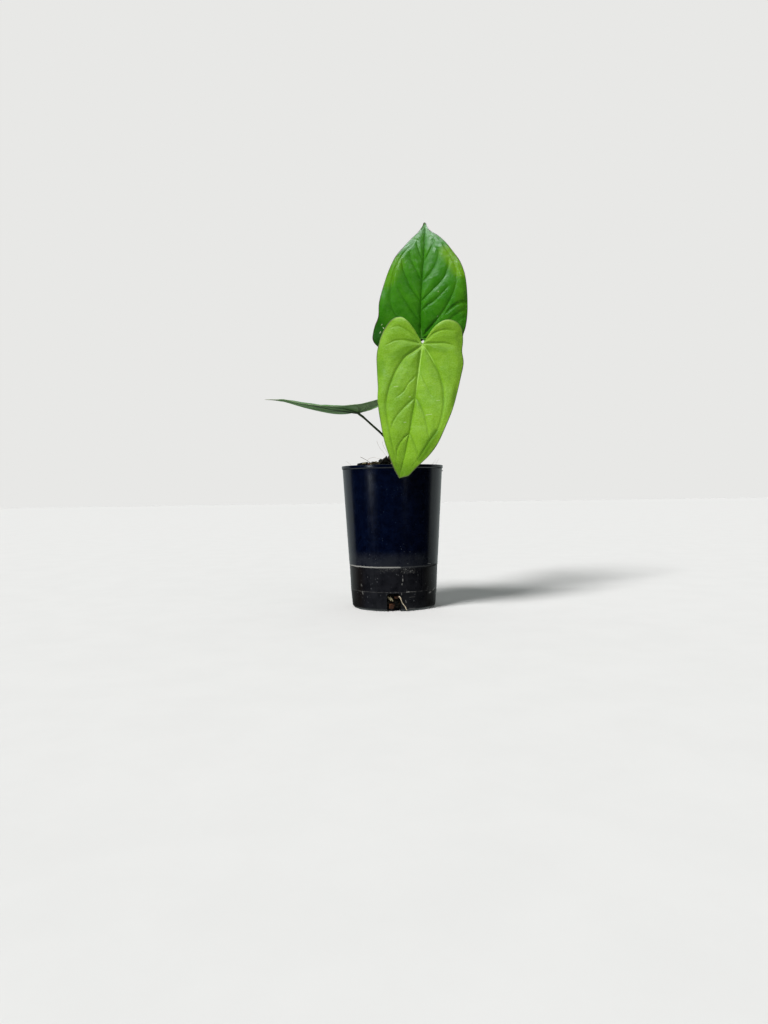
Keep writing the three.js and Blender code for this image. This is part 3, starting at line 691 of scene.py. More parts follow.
def make_blade(name, slot, material):
    leaf = LEAVES[name]
    blade = Blade(leaf)
    length = leaf["left"]["outline"][-1][0]
    halves = [half_blade(leaf, side, hand, blade, length) for side, hand in (("right", 1), ("left", -1))]
    points = np.concatenate([half[0] for half in halves])
    quads = np.concatenate([halves[0][1], halves[1][1] + len(halves[0][0])])
    # The two halves share the points on the midrib.
    _, first, which = np.unique(np.round(points, 3), axis=0, return_index=True, return_inverse=True)
    points, quads = points[first], which.ravel()[quads]
    values = {key: np.concatenate([half[2][key] for half in halves])[first] for key in halves[0][2]}
    normals = vertex_normals(points, quads)
    facing = vertex_normals(values.pop("bare"), quads)
    thin, full = BLADE["thin_rim"], np.sqrt(np.clip(values["from_rim"] / BLADE["rim"], 0, 1))
    skin = normals * (BLADE["half_thickness"] * (thin + (1 - thin) * full))[:, None]
    groove = BLADE["line_depth"] * values["line"] * (1 - values["ridge"])
    raised = BLADE["ridge_height"] * values["ridge"] - groove
    rib = BLADE["rib_height"] * values["rib"] * np.minimum(1, values["from_rim"] / 4)
    sheets = [points + skin + facing * raised[:, None], points - skin - facing * rib[:, None]]
    under = np.repeat([0.0, 1.0], len(points))
    values = {key: np.concatenate([value, value]) for key, value in values.items()}
    shape = Shape()
    shape.add(np.concatenate(sheets), two_sided(quads, len(points)), under=under, **values)
    shape.piece(f"blade_{name}", f"leaf_{name}", slot, material)


def leaf_material(name, light, dark, vein, below, rib, rim, specular, gloss, tip, marks=(), **patches):
    """tip is (from, to, share, colour): the colour gains its share from one place along to the other."""
    m = Material(name, Specular_IOR_Level=specular)
    place = m.vector_of("place")
    under, ridge, line, valley, edge, ribs = m.values("under", "ridge", "line", "valley", "from_rim", "rib")
    broad = m.noise(place, 26, 2, 0.5, 0.4)
    share = m.band(broad * 0.6 + m.noise(place, 5, 4, 0.6) * 0.4, 0.25, 0.75)
    wobble = m.vector("ADD", place, m.stretched(m.noise(place, 2, 2, output="Color"), (0.9, 0.9, 0)))
    threads = m.band(m.cells(wobble, 2.1, "DISTANCE_TO_EDGE"), 0, 0.13, 1, 0)
    fine = m.cells(wobble, 0.75, "DISTANCE_TO_EDGE")
    top = m.mix(threads * 0.2, m.mix(share, dark, light), vein)
    # Painted shade: the colour darkens in the valleys beside the veins and goes near black in their
    # creases.
    top = m.mix(m.band(valley, 0.3, 1) * 0.4, top, dark)
    groove = m.larger(line - ridge * 1.6, 0)
    top = m.mix(groove * 0.55, top, m.mix(0.45, dark, (0, 0, 0)))
    top = m.mix(m.band(ridge, 0.1, 0.8, 0, 0.85), top, vein)
    bottom = m.mix(share * 0.6, below, m.mix(0.25, below, light))
    for start, end, width, strength, colour in patches.get("above", []):
        top = m.mix(m.mark(place, (*start, 0), (*end, 0), width, strength), top, colour)
    for start, end, width, strength, colour in patches.get("beneath", []):
        bottom = m.mix(m.mark(place, (*start, 0), (*end, 0), width, strength), bottom, colour)
    for start, end, width, strength in marks:
        top = m.mix(m.mark(place, (*start, 0), (*end, 0), width, strength), top, (0.6, 0.68, 0.42))
    bottom = m.mix(m.larger(threads * 0.22, m.band(ribs, 0.12, 0.75, 0, 0.92)), bottom, rib)
    skin = m.mix(m.band(under, 0.4, 0.6), top, bottom)
    tip_from, tip_to, tip_share, tip_colour = tip
    skin = m.mix(m.band(m.axes(place)[0], tip_from, tip_to, 0, tip_share), skin, tip_colour)
    worn = m.band(edge, 1.2, 0.45) * m.band(m.noise(place, 14, 2), 0.35, 0.6, 0.4, 1)
    dull = m.band(m.noise(place, 8), 0.3, 0.7, gloss - 0.05, gloss + 0.09) + under * 0.14
    relief = threads * -0.5 + m.band(fine, 0, 0.2) * 0.22 + m.noise(place, 0.35, 2) * 0.25
    return m.finish(m.mix(worn, skin, rim), dull, relief, 0.16, 0.7)


# Soft patches of other greens and of painted shade and light, as (from, to, width, strength, colour) with
# places (along, out).
YOUNG_SHADE_AND_PATCHES = [
    # Painted shade along the relief and the lower margin, all but the last; the last is the pale meeting of
    # the veins.
    ((7, 12), (16, 22), 7, 0.4, (0.07, 0.2, 0.004)),
    ((4, -6), (4.5, -20), 4.5, 0.4, (0.07, 0.2, 0.004)),
    ((34, 33), (24, 34), 6, 0.35, (0.08, 0.22, 0.004)),
    ((44, -34), (60, -34), 4.5, 0.35, (0.08, 0.22, 0.004)),
    ((84, -21), (108, -13), 4, 0.55, (0.06, 0.18, 0.003)),
    ((0, 0), (3, 0), 4.5, 0.5, (0.36, 0.62, 0.1)),
]
OLD_PATCHES_AND_SHADE = [
    ((90, 24), (70, 36), 13, 0.75, (0.155, 0.34, 0.004)),
    ((74, -27), (56, -33), 13, 0.55, (0.12, 0.31, 0.005)),
    ((52, 38), (30, 40), 12, 0.25, (0.1, 0.29, 0.005)),
    ((10, 8), (10, -8), 16, 0.25, (0.02, 0.12, 0.003)),
    # Painted shade on the left lobe, which faces away from the light.
    ((-8, -36), (10, -42), 15, 0.8, (0.012, 0.095, 0.003)),
]
LEVEL_PAINTED_LIGHT = [
    # Painted light: a paler underside on the near lobe, where little light falls.
    ((-8, -10), (-18, -14), 17, 0.9, (0.34, 0.52, 0.22)),
]
# Small scratches on the blades, as (from, to, width, strength) with places (along, out).
YOUNG_MARKS = [
    ((46.7, 19.1), (45.8, 15.8), 0.32, 0.5),
    ((54.0, 5.4), (53.6, 4.2), 0.35, 0.6),
    ((69.8, -11.3), (68.8, -15.9), 0.35, 0.55),
    ((55.3, -18.3), (54.8, -20.8), 0.32, 0.5),
    ((79.5, 6.2), (78.7, 4.3), 0.35, 0.5),
]
OLD_MARKS = [
    ((6.7, -37.6), (7.4, -37.0), 0.55, 0.9),
    ((9.6, -33.8), (10.2, -34.4), 0.5, 0.9),
    ((2.6, -35.1), (3.2, -35.2), 0.5, 0.7),
    ((12.4, -35.8), (12.8, -35.4), 0.4, 0.7),
    ((44.1, 15.4), (44.6, 15.6), 0.5, 0.7),
    ((19.6, 15.0), (20.0, 15.3), 0.4, 0.6),
]


# Stalks, each from inside the stem over a last joint to its blade

STALKS = {
    "front": {
        "points": [(7.5, -1.5, 134), (14, -5, 155), (21, -7, 190), (27, -7, 219)],
        "radius": 1.2,
        "joint": 4,
    },
    "back": {
        "points": [
            (6.5, 5.5, 134), (13.5, 13, 155), (20.5, 20.5, 190), (22.8, 26, 220), (22.5, 27.2, 231),
            (22.7, 27.2, 237.5), (24.2, 26, 241.8), (26.6, 23.2, 242.4),
        ],
        "radius": 1.2,
        "joint": 1.6,
    },
    "left": {
        "points": [
            (1.5, 2, 133), (-3.4, 1.4, 146.5), (-8.1, 0.6, 152.8), (-18.4, 0, 162.5), (-25.4, 0, 169),
        ],
        "radius": 0.85,
        "joint": 0.4,
    },
}
STALK = {
    "sides": 28,
    "row_spacing": 0.7,
    "taper": 0.25,
    "base_swell": 1.7,
    "base_length": 0.2,
    "joint_swell": 0.2,
    "joint_length": 0.09,
    "flare": 0.6,
    "flare_length": 0.9,
    "last_step": 0.7,
    "touch": 0.3,  # depth of the stalk's end under the blade's middle surface
}


def make_stalk(name, material):
    stalk, leaf = STALKS[name], LEAVES[name]
    top, down = np.array(leaf["spine"][0], float), -unit(np.array(leaf["facing"][0], float))
    ends = [top + down * (STALK["last_step"] + stalk["joint"]), top + down * STALK["touch"]]
    path = curve(stalk["points"] + ends, centripetal=True)
    length = run_length(path)[-1]
    path = respaced(path, round(length / STALK["row_spacing"]))
    share = np.linspace(0, 1, len(path))
    swell = STALK["base_swell"] * (1 - smoothstep(share, 0, STALK["base_length"]))
    at_joint = 1 - STALK["joint_length"]
    joint = STALK["joint_swell"] * smoothstep(share, at_joint - STALK["joint_length"], at_joint)
    from_top = (1 - share) * length
    flare = STALK["flare"] * fading(from_top, STALK["flare_length"])
    radii = stalk["radius"] * (1 + STALK["taper"] * (1 - share)) + swell + joint + flare
    sides = STALK["sides"]
    angles = around(sides)
    flutes = 0.025 * np.sin(5 * angles) + 0.015 * np.sin(9 * angles + 1)
    flutes = flutes[None] * (0.4 + 0.6 * smoothstep(share, 0.02, 0.1))[:, None]
    rings = 0.02 * np.sin(from_top * 4.2)[:, None] * smoothstep(-from_top, -14, -8)[:, None]
    grain = 0.03 * skin_noise(share * length / 6, angles, 1, 21)
    points, faces = tube(path, radii, sides, 1 + flutes + rings + grain)
    along = np.append(np.repeat(share, sides), [0, 1])
    place = np.append(np.repeat(share * length, sides), [0, length])
    turn = np.append(np.tile(angles, len(path)), [0, 0])
    from_top = length - place
    place = np.stack([place, np.cos(turn) * 3, np.sin(turn) * 3], -1)
    shape = Shape()
    shape.add(points, faces, along=along, from_top=from_top, place=place)
    shape.piece(f"stalk_{name}", f"petiole_{name}", "stalk", material)


def stalk_material():
    m = Material("stalk_skin", Specular_IOR_Level=0.45)
    place = m.vector_of("place")
    along, from_top = m.values("along", "from_top")
    streaks = m.noise(m.stretched(place, (0.12, 1, 1)), 1.1, 3, 0.6)
    green = m.tones(streaks, 0.35, 0.65, (0.033, 0.056, 0.011), (0.09, 0.135, 0.028))
    brown = m.tones(streaks, 0.3, 0.7, (0.035, 0.026, 0.012), (0.11, 0.085, 0.035))
    flecks = m.band(m.cells(m.stretched(place, (0.5, 1, 1)), 0.8), 0, 0.22, 1, 0)
    skin = m.mix(m.band(along, 0.03, 0.3), brown, green)
    skin = m.mix(flecks * 0.3, skin, (0.16, 0.18, 0.07))
    skin = m.mix(m.band(from_top, 7, 1, 0, 0.7), skin, (0.07, 0.12, 0.03))
    return m.finish(skin, m.band(streaks, 0.3, 0.7, 0.36, 0.55), streaks + flecks * 0.5, 0.12, 0.8)


# Stem with the roots that arch from it into the mix

CROWN = {
    "foot": (5, 3, 106),
    "top": (3, 2, 139),
    "radius": 6.2,
    "shares": [0.82, 0.92, 1, 0.94, 1.04, 0.95, 1.05, 0.94, 0.98, 0.8, 0.45],
    "rows": 90,
    "sides": 72,
}
# Roots, as (angle, height at which it leaves the stem, reach from the stem's axis, radius).
ROOTS = [
    (196, 130.5, 15, 1.5),
    (250, 129, 14, 1.1),
    (318, 126.5, 17, 1.4),
    (25, 128.5, 16, 1.2),
    (110, 128, 18, 1.3),
]
ROOT_DROP = 11
ROOT_ROWS, ROOT_SIDES = 60, 20


def make_stem(material):
    shares = curve(list(enumerate(CROWN["shares"])), 8)
    level = np.linspace(0, len(CROWN["shares"]) - 1, CROWN["rows"])[:, None]
    share = np.interp(level, shares[:, 0], shares[:, 1])
    foot, top = [np.array(CROWN[key], float) for key in ("foot", "top")]
    centres = foot + (top - foot) * (level / level[-1])
    angles = around(CROWN["sides"])
    lobed = 1 + 0.05 * np.sin(3 * angles + level / 2)
    rings = polar(centres.T[..., None], CROWN["radius"] * share * lobed, angles, centres[:, 2:])
    scars = np.sin(level * math.pi + 0.8 * np.sin(angles))
    fibres = noise(rings * [1, 1, 0.22], 0.9, 31, 2)
    relief = 0.28 * scars + 0.3 * fibres + 0.35 * noise(rings, 3.2, 33, 2)
    relief = relief * smoothstep(-level, -level[-1], -level[-1] + 0.8)
    points, faces = lofted(rings + polar((0, 0), 1, angles, 0) * relief[..., None])
    shape = Shape()
    shape.add(points, faces, relief=np.append(relief.ravel(), [0, 0]))
    shape.piece("stem", "crown", "stem", material)


def make_stem_roots(material):
    shape = Shape()
    share = np.linspace(0, 1, ROOT_ROWS)
    for i, (angle, height, reach, radius) in enumerate(ROOTS):
        places = [
            (1, height - 3),
            (CROWN["radius"] + 1, height),
            (reach * 0.74, height - 2.5),
            (reach, height - ROOT_DROP),
        ]
        path = bent_path([polar(CROWN["top"], out, math.radians(angle), z) for out, z in places], ROOT_ROWS)
        path = path + 0.25 * np.stack([noise(path, 5, 40 + i), noise(path, 5, 50 + i), 0 * share], -1)
        bark = 1 + 0.09 * skin_noise(share * 14, around(ROOT_SIDES), 0.8, 60, 2, i)
        points, faces = tube(path, radius * (1.1 - 0.35 * share), ROOT_SIDES, bark)
        shape.add(points, faces, along=np.append(np.repeat(share, ROOT_SIDES), [0, 1]))
    shape.piece("stem_roots", "crown", "root", material)


def stem_material():
    m = Material("stem_bark")
    place = m.object_place()
    relief = m.values("relief")[0]
    fibres = m.noise(m.stretched(place, (1, 1, 0.16)), 0.7, 4, 0.65)
    patches = m.noise(place, 3.5, 3, 0.6)
    brown = m.tones(fibres, 0.35, 0.65, (0.035, 0.022, 0.012), (0.14, 0.1, 0.055))
    green = m.tones(fibres, 0.35, 0.65, (0.06, 0.075, 0.02), (0.17, 0.19, 0.06))
    share = m.band(m.axes(place)[2], 130, 137) * m.band(patches, 0.35, 0.6, 0.35, 1)
    # Painted shade: darker where the relief sinks, in the grooves between scars and fibres.
    skin = m.mix(m.band(relief, 0.05, -0.4), m.mix(share, brown, green), (0.018, 0.012, 0.008))
    return m.finish(skin, m.band(patches, 0.3, 0.7, 0.7, 0.92), fibres + patches * 0.5, 0.35, 0.9)


def root_material(name, pale, dark):
    m = Material(name)
    place = m.object_place()
    felt = m.noise(place, 0.4, 4, 0.7)
    skin = m.tones(felt * 0.4 + m.noise(place, 2.6, 3, 0.6) * 0.6, 0.38, 0.6, dark, pale)
    return m.finish(skin, m.band(felt, 0.3, 0.7, 0.72, 0.95), felt, 0.14, 0.9)


# Dry bracts against the stem, as (angle, height of the foot, how tall, how wide, lean)

BRACTS = [
    (188, 127, 6.5, 8, 0.25),
    (292, 129, 17, 8.5, 0.2),
]
BRACT_ROWS, BRACT_COLUMNS = 60, 44


def make_bract(index, bract, material):
    angle, foot, tall, wide, lean = bract
    rows, columns = BRACT_ROWS, BRACT_COLUMNS
    up, side = np.meshgrid(np.linspace(0, 1, rows), np.linspace(-1, 1, columns), indexing="ij")
    half_width = wide / 2 * (0.25 + 0.75 * np.sqrt(1 - up**2))
    radius = CROWN["radius"] + 0.9 + lean * tall * up**1.5
    turn = math.radians(angle) + side * half_width / radius
    ragged = 1 + 0.07 * noise(np.stack([side * 9, 0 * side, 0 * side + index], -1), 1, 70, 2) * up**2
    height = foot + tall * up * (1 - 0.12 * side**2) * ragged
    strips = np.stack([side * half_width, up * 2, 0 * up + index], -1)
    fibre = noise(strips, 0.55, 71, 2)
    radius = radius + 0.16 * fibre + 0.35 * noise(strips, 2.2, 72)
    thickness = 0.3 * (1 - 0.5 * up**3)
    sheets = [polar(CROWN["top"], radius + offset, turn, height) for offset in (thickness, -thickness)]
    faces = two_sided(np.array(grid_faces(rows, columns)), rows * columns)
    shape = Shape()
    shape.add(np.stack(sheets), faces, up=np.tile(up.ravel(), 2), fibre=np.tile(fibre.ravel(), 2))
    shape.piece(f"dry_bract_{index}", f"bract_{index}", "bract", material)


def bract_material():
    m = Material("bract_paper")
    place = m.object_place()
    fibre, up = m.values("fibre", "up")
    grain = m.noise(m.stretched(place, (1, 1, 0.12)), 0.35, 4, 0.6)
    patches = m.noise(place, 2.4, 3, 0.6)
    skin = m.tones(grain, 0.3, 0.7, (0.03, 0.018, 0.01), (0.16, 0.095, 0.045))
    skin = m.mix(m.band(fibre, -0.1, 0.6) * 0.5, skin, (0.27, 0.18, 0.09))
    skin = m.mix(m.band(patches, 0.5, 0.65) * 0.8, skin, (0.014, 0.01, 0.008))
    skin = m.mix(m.band(up, 0.9, 1, 0, 0.5), skin, (0.33, 0.24, 0.13))
    return m.finish(skin, m.band(grain, 0.3, 0.7, 0.6, 0.85), grain, 0.2, 0.9)


# Pot

POT = {
    "height": 125,
    "rim_radius": 45,
    "lip_height": 3,
    "lip_proud": 0.5,
    "wall": 1.2,
    "floor": 1.8,
    "step_height": 37.6,
    "step_slope": 0.8,
    "radius_above_step": 39.5,
    "radius_below_step": 39.2,
    "ring_height": 16.5,
    "ring_radius": 38.3,
    "foot_radius": 36.9,
    "foot_chamfer": 1.6,
    "segments": 216,
}
DRAIN = {"count": 3, "width": 11.6, "height": 15.4, "corner": 2.6, "reach": 6.5, "first_angle": -91}


def pot_radius(z):
    """The radius of the pot's outer wall at a height, without the lip."""
    heights = [0, POT["ring_height"], POT["step_height"], POT["step_height"] + 1e-6, POT["height"]]
    radii = [POT["foot_radius"], POT["ring_radius"], POT["radius_below_step"], POT["radius_above_step"],
             POT["rim_radius"] - POT["lip_proud"]]
    return float(np.interp(z, heights, radii))


def inner_wall(inset):
    """The pot's inner wall as (radius, height) from the rim to the floor, drawn in by inset."""
    chamfer, floor = POT["foot_chamfer"], POT["floor"]
    step, slope = POT["step_height"], POT["step_slope"]
    outside = [
        (pot_radius(POT["height"]), POT["height"]),
        (POT["radius_above_step"], step + slope),
        (POT["radius_below_step"], step - slope),
        (POT["ring_radius"], POT["ring_height"]),
        (pot_radius(floor + chamfer), floor + inset + chamfer),
        (pot_radius(floor) - chamfer, floor + inset),
    ]
    return [(radius - POT["wall"] - inset, z) for radius, z in outside]


def rounded_profile(corners, steps=5):
    """A profile of (radius, height, rounding) corners, each cut back by its rounding and curved."""
    points = []
    for i, (x, z, rounding) in enumerate(corners):
        here = np.array([x, z], float)
        if rounding == 0:
            points.append(here)
            continue
        ways = [np.array(corners[j][:2], float) - here for j in (i - 1, i + 1)]
        start, end = [here + unit(way) * min(rounding, np.linalg.norm(way) / 2) for way in ways]
        for t in np.linspace(0, 1, steps):
            points.append((1 - t)**2 * start + 2 * t * (1 - t) * here + t**2 * end)
    return np.array(points)


def filled_in(profile, longest):
    """The same profile with no side longer than a length."""
    points = [profile[0]]
    for a, b in zip(profile, profile[1:]):
        parts = max(1, math.ceil(np.linalg.norm(b - a) / longest))
        points += [a + (b - a) * i / parts for i in range(1, parts + 1)]
    return np.array(points)


def turned(profile, sides):
    """Rings round the pot's axis, from a profile of (radius, height)."""
    return np.stack([polar((0, 0), r, around(sides), z) for r, z in profile])


def opening_cutters():
    """Arched blocks through the foot of the wall."""
    half, top, corner = DRAIN["width"] / 2, DRAIN["height"], DRAIN["corner"]
    below = -4
    bend = [(math.cos(a), math.sin(a)) for a in np.linspace(0, math.pi / 2, 9)]
    arch = [(-half, below), (half, below)]
    arch += [(half - corner + corner * c, top - corner + corner * s) for c, s in bend]
    arch += [(-half + corner - corner * s, top - corner + corner * c) for c, s in bend]
    for i in range(DRAIN["count"]):
        turn = math.radians(DRAIN["first_angle"] + 360 * i / DRAIN["count"])
        out, side = polar((0, 0), 1, turn, 0), polar((0, 0), 1, turn + math.pi / 2, 0)
        reaches = (POT["foot_radius"] - DRAIN["reach"], POT["foot_radius"] + 8)
        rings = [[out * r + side * x + np.array([0, 0, z]) for x, z in arch] for r in reaches]
        yield linked("opening", mesh_of("opening", *lofted(rings)))


def make_pot(material):
    height, rim, foot, chamfer = POT["height"], POT["rim_radius"], POT["foot_radius"], POT["foot_chamfer"]
    step, slope = POT["step_height"], POT["step_slope"]
    lip_foot = height - POT["lip_height"]
    inside = inner_wall(0)
    middle = 1.0  # radius of the flat fan that closes the floor
    corners = [
        (middle, 0, 0),
        (foot - chamfer, 0, 0.5),
        (pot_radius(chamfer), chamfer, 0.8),
        (POT["ring_radius"], POT["ring_height"], 0.6),
        (POT["radius_below_step"], step - slope, 0.35),
        (POT["radius_above_step"], step + slope, 0.5),
        (pot_radius(lip_foot), lip_foot, 0.4),
        (rim, lip_foot + POT["lip_proud"], 0.35),
        (rim, height, 0.55),
        (inside[0][0], height, 0.4),
        *[(x, z, 0.4) for x, z in inside[1:-1]],
        (*inside[-1], 0.6),
        (middle, POT["floor"], 0),
    ]
    shape = Shape()
    shape.add(*lofted(turned(filled_in(rounded_profile(corners), 7), POT["segments"])))
    pot = shape.piece("pot_shell", "pot", "pot", material)
    cutters = list(opening_cutters())
    for cutter in cutters:
        cut = pot.modifiers.new("opening", "BOOLEAN")
        cut.operation, cut.object, cut.solver = "DIFFERENCE", cutter, "EXACT"
    bpy.context.view_layer.update()
    pot_with_openings = pot.evaluated_get(bpy.context.evaluated_depsgraph_get())
    mesh = bpy.data.meshes.new_from_object(pot_with_openings)
    pot.modifiers.clear()
    pot.data = mesh
    for cutter in cutters:
        bpy.data.objects.remove(cutter)
    mesh.polygons.foreach_set("use_smooth", [True] * len(mesh.polygons))
    mesh.set_sharp_from_angle(angle=math.radians(28))


# Marks on the pot's front, as (from, to, width, strength) with places (x, z).
POT_MARKS = [
    ((7.2, 28), (7.2, 26.2), 0.55, 0.9),
    ((6.5, 23.9), (6.5, 22.9), 0.5, 0.75),
    ((7.1, 31), (7.2, 29.6), 0.35, 0.4),
    ((5.9, 16.2), (6.1, 14.2), 0.35, 0.4),
    ((30.6, 14), (31.6, 14.5), 0.85, 0.8),
    ((33.6, 15.4), (37.4, 18.3), 0.45, 0.8),
    ((10.4, 16.6), (12.4, 16.7), 0.5, 0.8),
    ((12.4, 16.7), (18.5, 16.4), 0.35, 0.4),
    ((-28.4, 22.6), (-28, 21), 0.6, 0.3),
    ((-27.4, 16.2), (-27, 14.2), 0.7, 0.35),
    ((9.4, 9.4), (9.9, 7.6), 0.5, 0.5),
    ((12.6, 12), (17.6, 12.2), 0.35, 0.2),
    ((12.5, 2.4), (17.5, 2.1), 0.4, 0.4),
    ((29.8, 39.7), (31.4, 39.3), 0.6, 0.5),
]


def pot_wear(m, place, fine, specks):
    """Where the plastic is worn pale, from 0 to 1."""
    x, y, z = m.axes(place)
    front = m.band(y, -4, -16)
    # The worn edge of the step, strongest to the left of the middle.
    edge_z = (m.noise(place, 5, 2) - 0.5) * 0.8 + 37.9
    broken = m.band(m.noise(m.stretched(place, (1, 1, 0.3)), 2.2, 4, 0.7), 0.28, 0.46, 0.45, 1)
    edge = m.band(abs(z - edge_z), 0.75, 0.25) * broken
    edge = edge * m.band(x, 6.2, 4.6, 0.12, 1) * m.band(y, 2, -4, 0.35, 1)
    # Scuffs just under the step, on both sides of the middle.
    scuffed = m.band(m.noise(place, 1.1, 4, 0.75, 1.2), 0.52, 0.64) * front
    right = m.band(x, 4.5, 8.5) * m.band(x, 19, 15) * m.band(z, 31.8, 34) * m.band(z, 37.8, 36.6)
    left = m.band(x, -16, -11) * m.band(x, 5, 1) * m.band(z, 33.5, 36) * m.band(z, 37.9, 37.2)
    # The faint ring where the foot begins.
    at_ring = m.band(abs(z - POT["ring_height"]), 0.45, 0.08)
    ring = at_ring * m.band(m.noise(place, 3.4, 3, 0.7), 0.4, 0.62, 0.03, 0.2)
    wear = m.larger(edge * 1.15, m.larger(scuffed * right * 0.8, ring))
    wear = m.larger(wear, scuffed * left * 0.4)
    shaken = (fine - 0.5) * 0.6
    flat = m.vector("ADD", m.stretched(place, (1, 0, 1)), m.node("CombineXYZ", {0: shaken, 2: shaken}))
    for start, end, width, strength in POT_MARKS:
        mark = m.mark(flat, (start[0], 0, start[1]), (end[0], 0, end[1]), width, strength)
        wear = m.larger(wear, mark * front)
    return m.larger(wear, specks * m.band(z, 70, 30, 0, 0.4) * 0.8)


def pot_material():
    m = Material("pot_plastic", Specular_IOR_Level=0.5)
    place = m.object_place()
    x, _, z = m.axes(place)
    fine = m.noise(place, 0.6, 3, 0.6)
    blotch = m.noise(place, 6, 4, 0.6)
    drawn = m.noise(m.stretched(place, (1, 1, 0.06)), 1.6, 3, 0.6)
    low = m.band(z, 38.4, 36.4)
    mottle = blotch * 0.5 + m.noise(place, 1.3, 3, 0.7) * 0.5
    plastic = m.tones(mottle, 0.36, 0.64, (0.0002, 0.001, 0.0065), (0.0007, 0.0034, 0.0175))
    dusty = m.tones(blotch, 0.35, 0.7, (0.0042, 0.0043, 0.0066), (0.0094, 0.0093, 0.0128))
    skin = m.mix(low, plastic, dusty)
    haze = m.band(z, 53, 44, 0, 0.95) * m.band(blotch, 0.25, 0.6, 0.4, 1) * m.band(z, 37.2, 38.4)
    skin = m.mix(haze, skin, (0.0165, 0.0185, 0.025))
    browner = m.band(abs(x), 23, 31) * low * m.band(blotch, 0.3, 0.6, 0.6, 1)
    skin = m.mix(browner, skin, (0.0055, 0.0034, 0.003))
    specks = m.band(m.cells(place, 2.6), 0.22, 0.08) * m.band(m.noise(place, 9, 2), 0.45, 0.65)
    skin = m.mix(specks * 0.5, skin, (0.022, 0.038, 0.065))
    wear = pot_wear(m, place, fine, specks)
    skin = m.mix(m.math("MINIMUM", wear, 1), skin, (0.34, 0.33, 0.31))
    rough = m.band(blotch * 0.5 + drawn * 0.5, 0.35, 0.65, 0.16, 0.24) + low * 0.1 + wear * 0.4
    return m.finish(skin, rough, fine * 0.3 + drawn * 0.5 + wear * 0.6, 0.05, 0.6)


# Potting mix

MIX = {
    "edge_height": 120,
    "mound": {"x": -10, "y": 4, "height": 5.2, "spread": 19},
    "chips": 42,
    "seed": 11,
    "sides": 168,
    "top_rings": 74,
    "recess": 4.2,  # how far the bed stands back behind the openings in the foot
}
# Shapes of the strewn chips, as (faces along a side, count, smallest, largest).
STREWN = [(4, 190, 2.6, 6.0), (2, 620, 1.0, 2.6), (1, 900, 0.5, 1.1)]
OPENING_CHIPS = 26
STREWN_FIBRES = 90

# Chips that show over the rim at the front left, as (centre, size, turn, tone).
RIM_CHIPS = [
    ((-25.4, -21, 126), (9, 6.5, 3), (0.1, -0.14, 0.2), 0.3),
    ((-14.4, -20, 126.5), (7.6, 6, 3), (-0.1, 0.2, -0.3), 0.45),
    ((-20, -14, 125.4), (6, 5, 3), (0.3, 0.1, 1), 0.15),
    ((-24.2, -23.9, 127), (3.4, 1.8, 0.9), (0.5, -0.3, 0.2), 0.93),
    ((-13.6, -22.8, 127.6), (3, 1.6, 0.9), (0.5, 0.4, -0.2), 0.9),
    ((-18.4, -22.4, 125.8), (2.4, 1.6, 0.8), (0.4, 0.1, 0.6), 0.95),
    ((-9.5, -13, 127.6), (5.2, 4.4, 5.2), (0.3, -0.4, 0.5), 0.05),
    ((-5.6, -9.5, 129.2), (4.6, 4.4, 6.2), (-0.2, 0.25, 0.9), 0),
    ((-2.6, -7.5, 130), (4.4, 4, 6.4), (0.2, 0.4, 0.2), 0.1),
]
# Chips in the front opening, as (centre, size, turn, tone, hue).
FRONT_CHIPS = [
    ((-4.4, -35, 11.4), (5, 1.8, 1.2), (0.2, 0.85, 0.1), 1, 0.05),
    ((-2.6, -35, 11), (4.4, 1.8, 0.9), (0.1, 0.95, -0.1), 0.95, 0.1),
    ((2.4, -34.6, 12.4), (5, 2.4, 2), (0.3, -0.2, 0.3), 0.5, 1),
    ((-2.6, -34.4, 4.4), (4.4, 2.6, 4.6), (0.1, 0.1, 0.4), 0.7, 1),
    ((1.6, -32.4, 7.8), (5, 3, 3), (0.5, 0.3, 0.8), 0.05, 0.4),
    ((-4.6, -32.6, 7.4), (3.6, 3, 3.4), (0.2, 0.6, 0.5), 0.1, 0.5),
]
# Fibres that show against the backdrop, as (points, radius, tone).
SHOWN_FIBRES = [
    ([(-27.6, -25, 132.3), (-23.6, -25, 130.2), (-19.2, -25, 127.4), (-16.8, -24.6, 125.6)], 0.2, 0.25),
    ([(-21.4, -20, 128), (-21.1, -20, 130.2), (-19, -20, 131.4), (-16.2, -20, 131.8), (-12.4, -20, 131),
      (-9.5, -20, 129.9), (-8, -19, 127.4)], 0.11, 0.9),
    ([(-13.4, -6, 147), (-11.6, -6, 142.2), (-9.4, -6, 138.8), (-7.2, -6, 136.3), (-4.6, -6, 131.4)],
     0.09, 0.95),
    ([(-8.8, -6, 146.9), (-7.9, -6, 143.2), (-6.2, -6, 139.8), (-4.2, -6, 136), (-2.6, -6, 131.4)],
     0.09, 0.95),
    ([(33, -10, 124), (36.4, -12, 127), (38.4, -14, 130.2)], 0.09, 0.9),
    ([(36.6, 0, 123), (39.6, 0, 127.2), (41.8, 0, 131.2)], 0.09, 0.85),
    ([(-34, -14, 123), (-37.8, -14, 127.2), (-41, -14, 129.4)], 0.09, 0.9),
]


def mix_top(x, y):
    mound = MIX["mound"]
    away = np.hypot(x - mound["x"], y - mound["y"]) / mound["spread"]
    lumps = 0.5 * np.sin(x / 4.1 + 1) * np.cos(y / 3.7) + 0.35 * np.sin((x + y) / 2.6)
    return MIX["edge_height"] + mound["height"] * np.exp(-(away**4)) + lumps


def from_stem(x, y):
    return math.hypot(x - CROWN["top"][0], y - CROWN["top"][1])


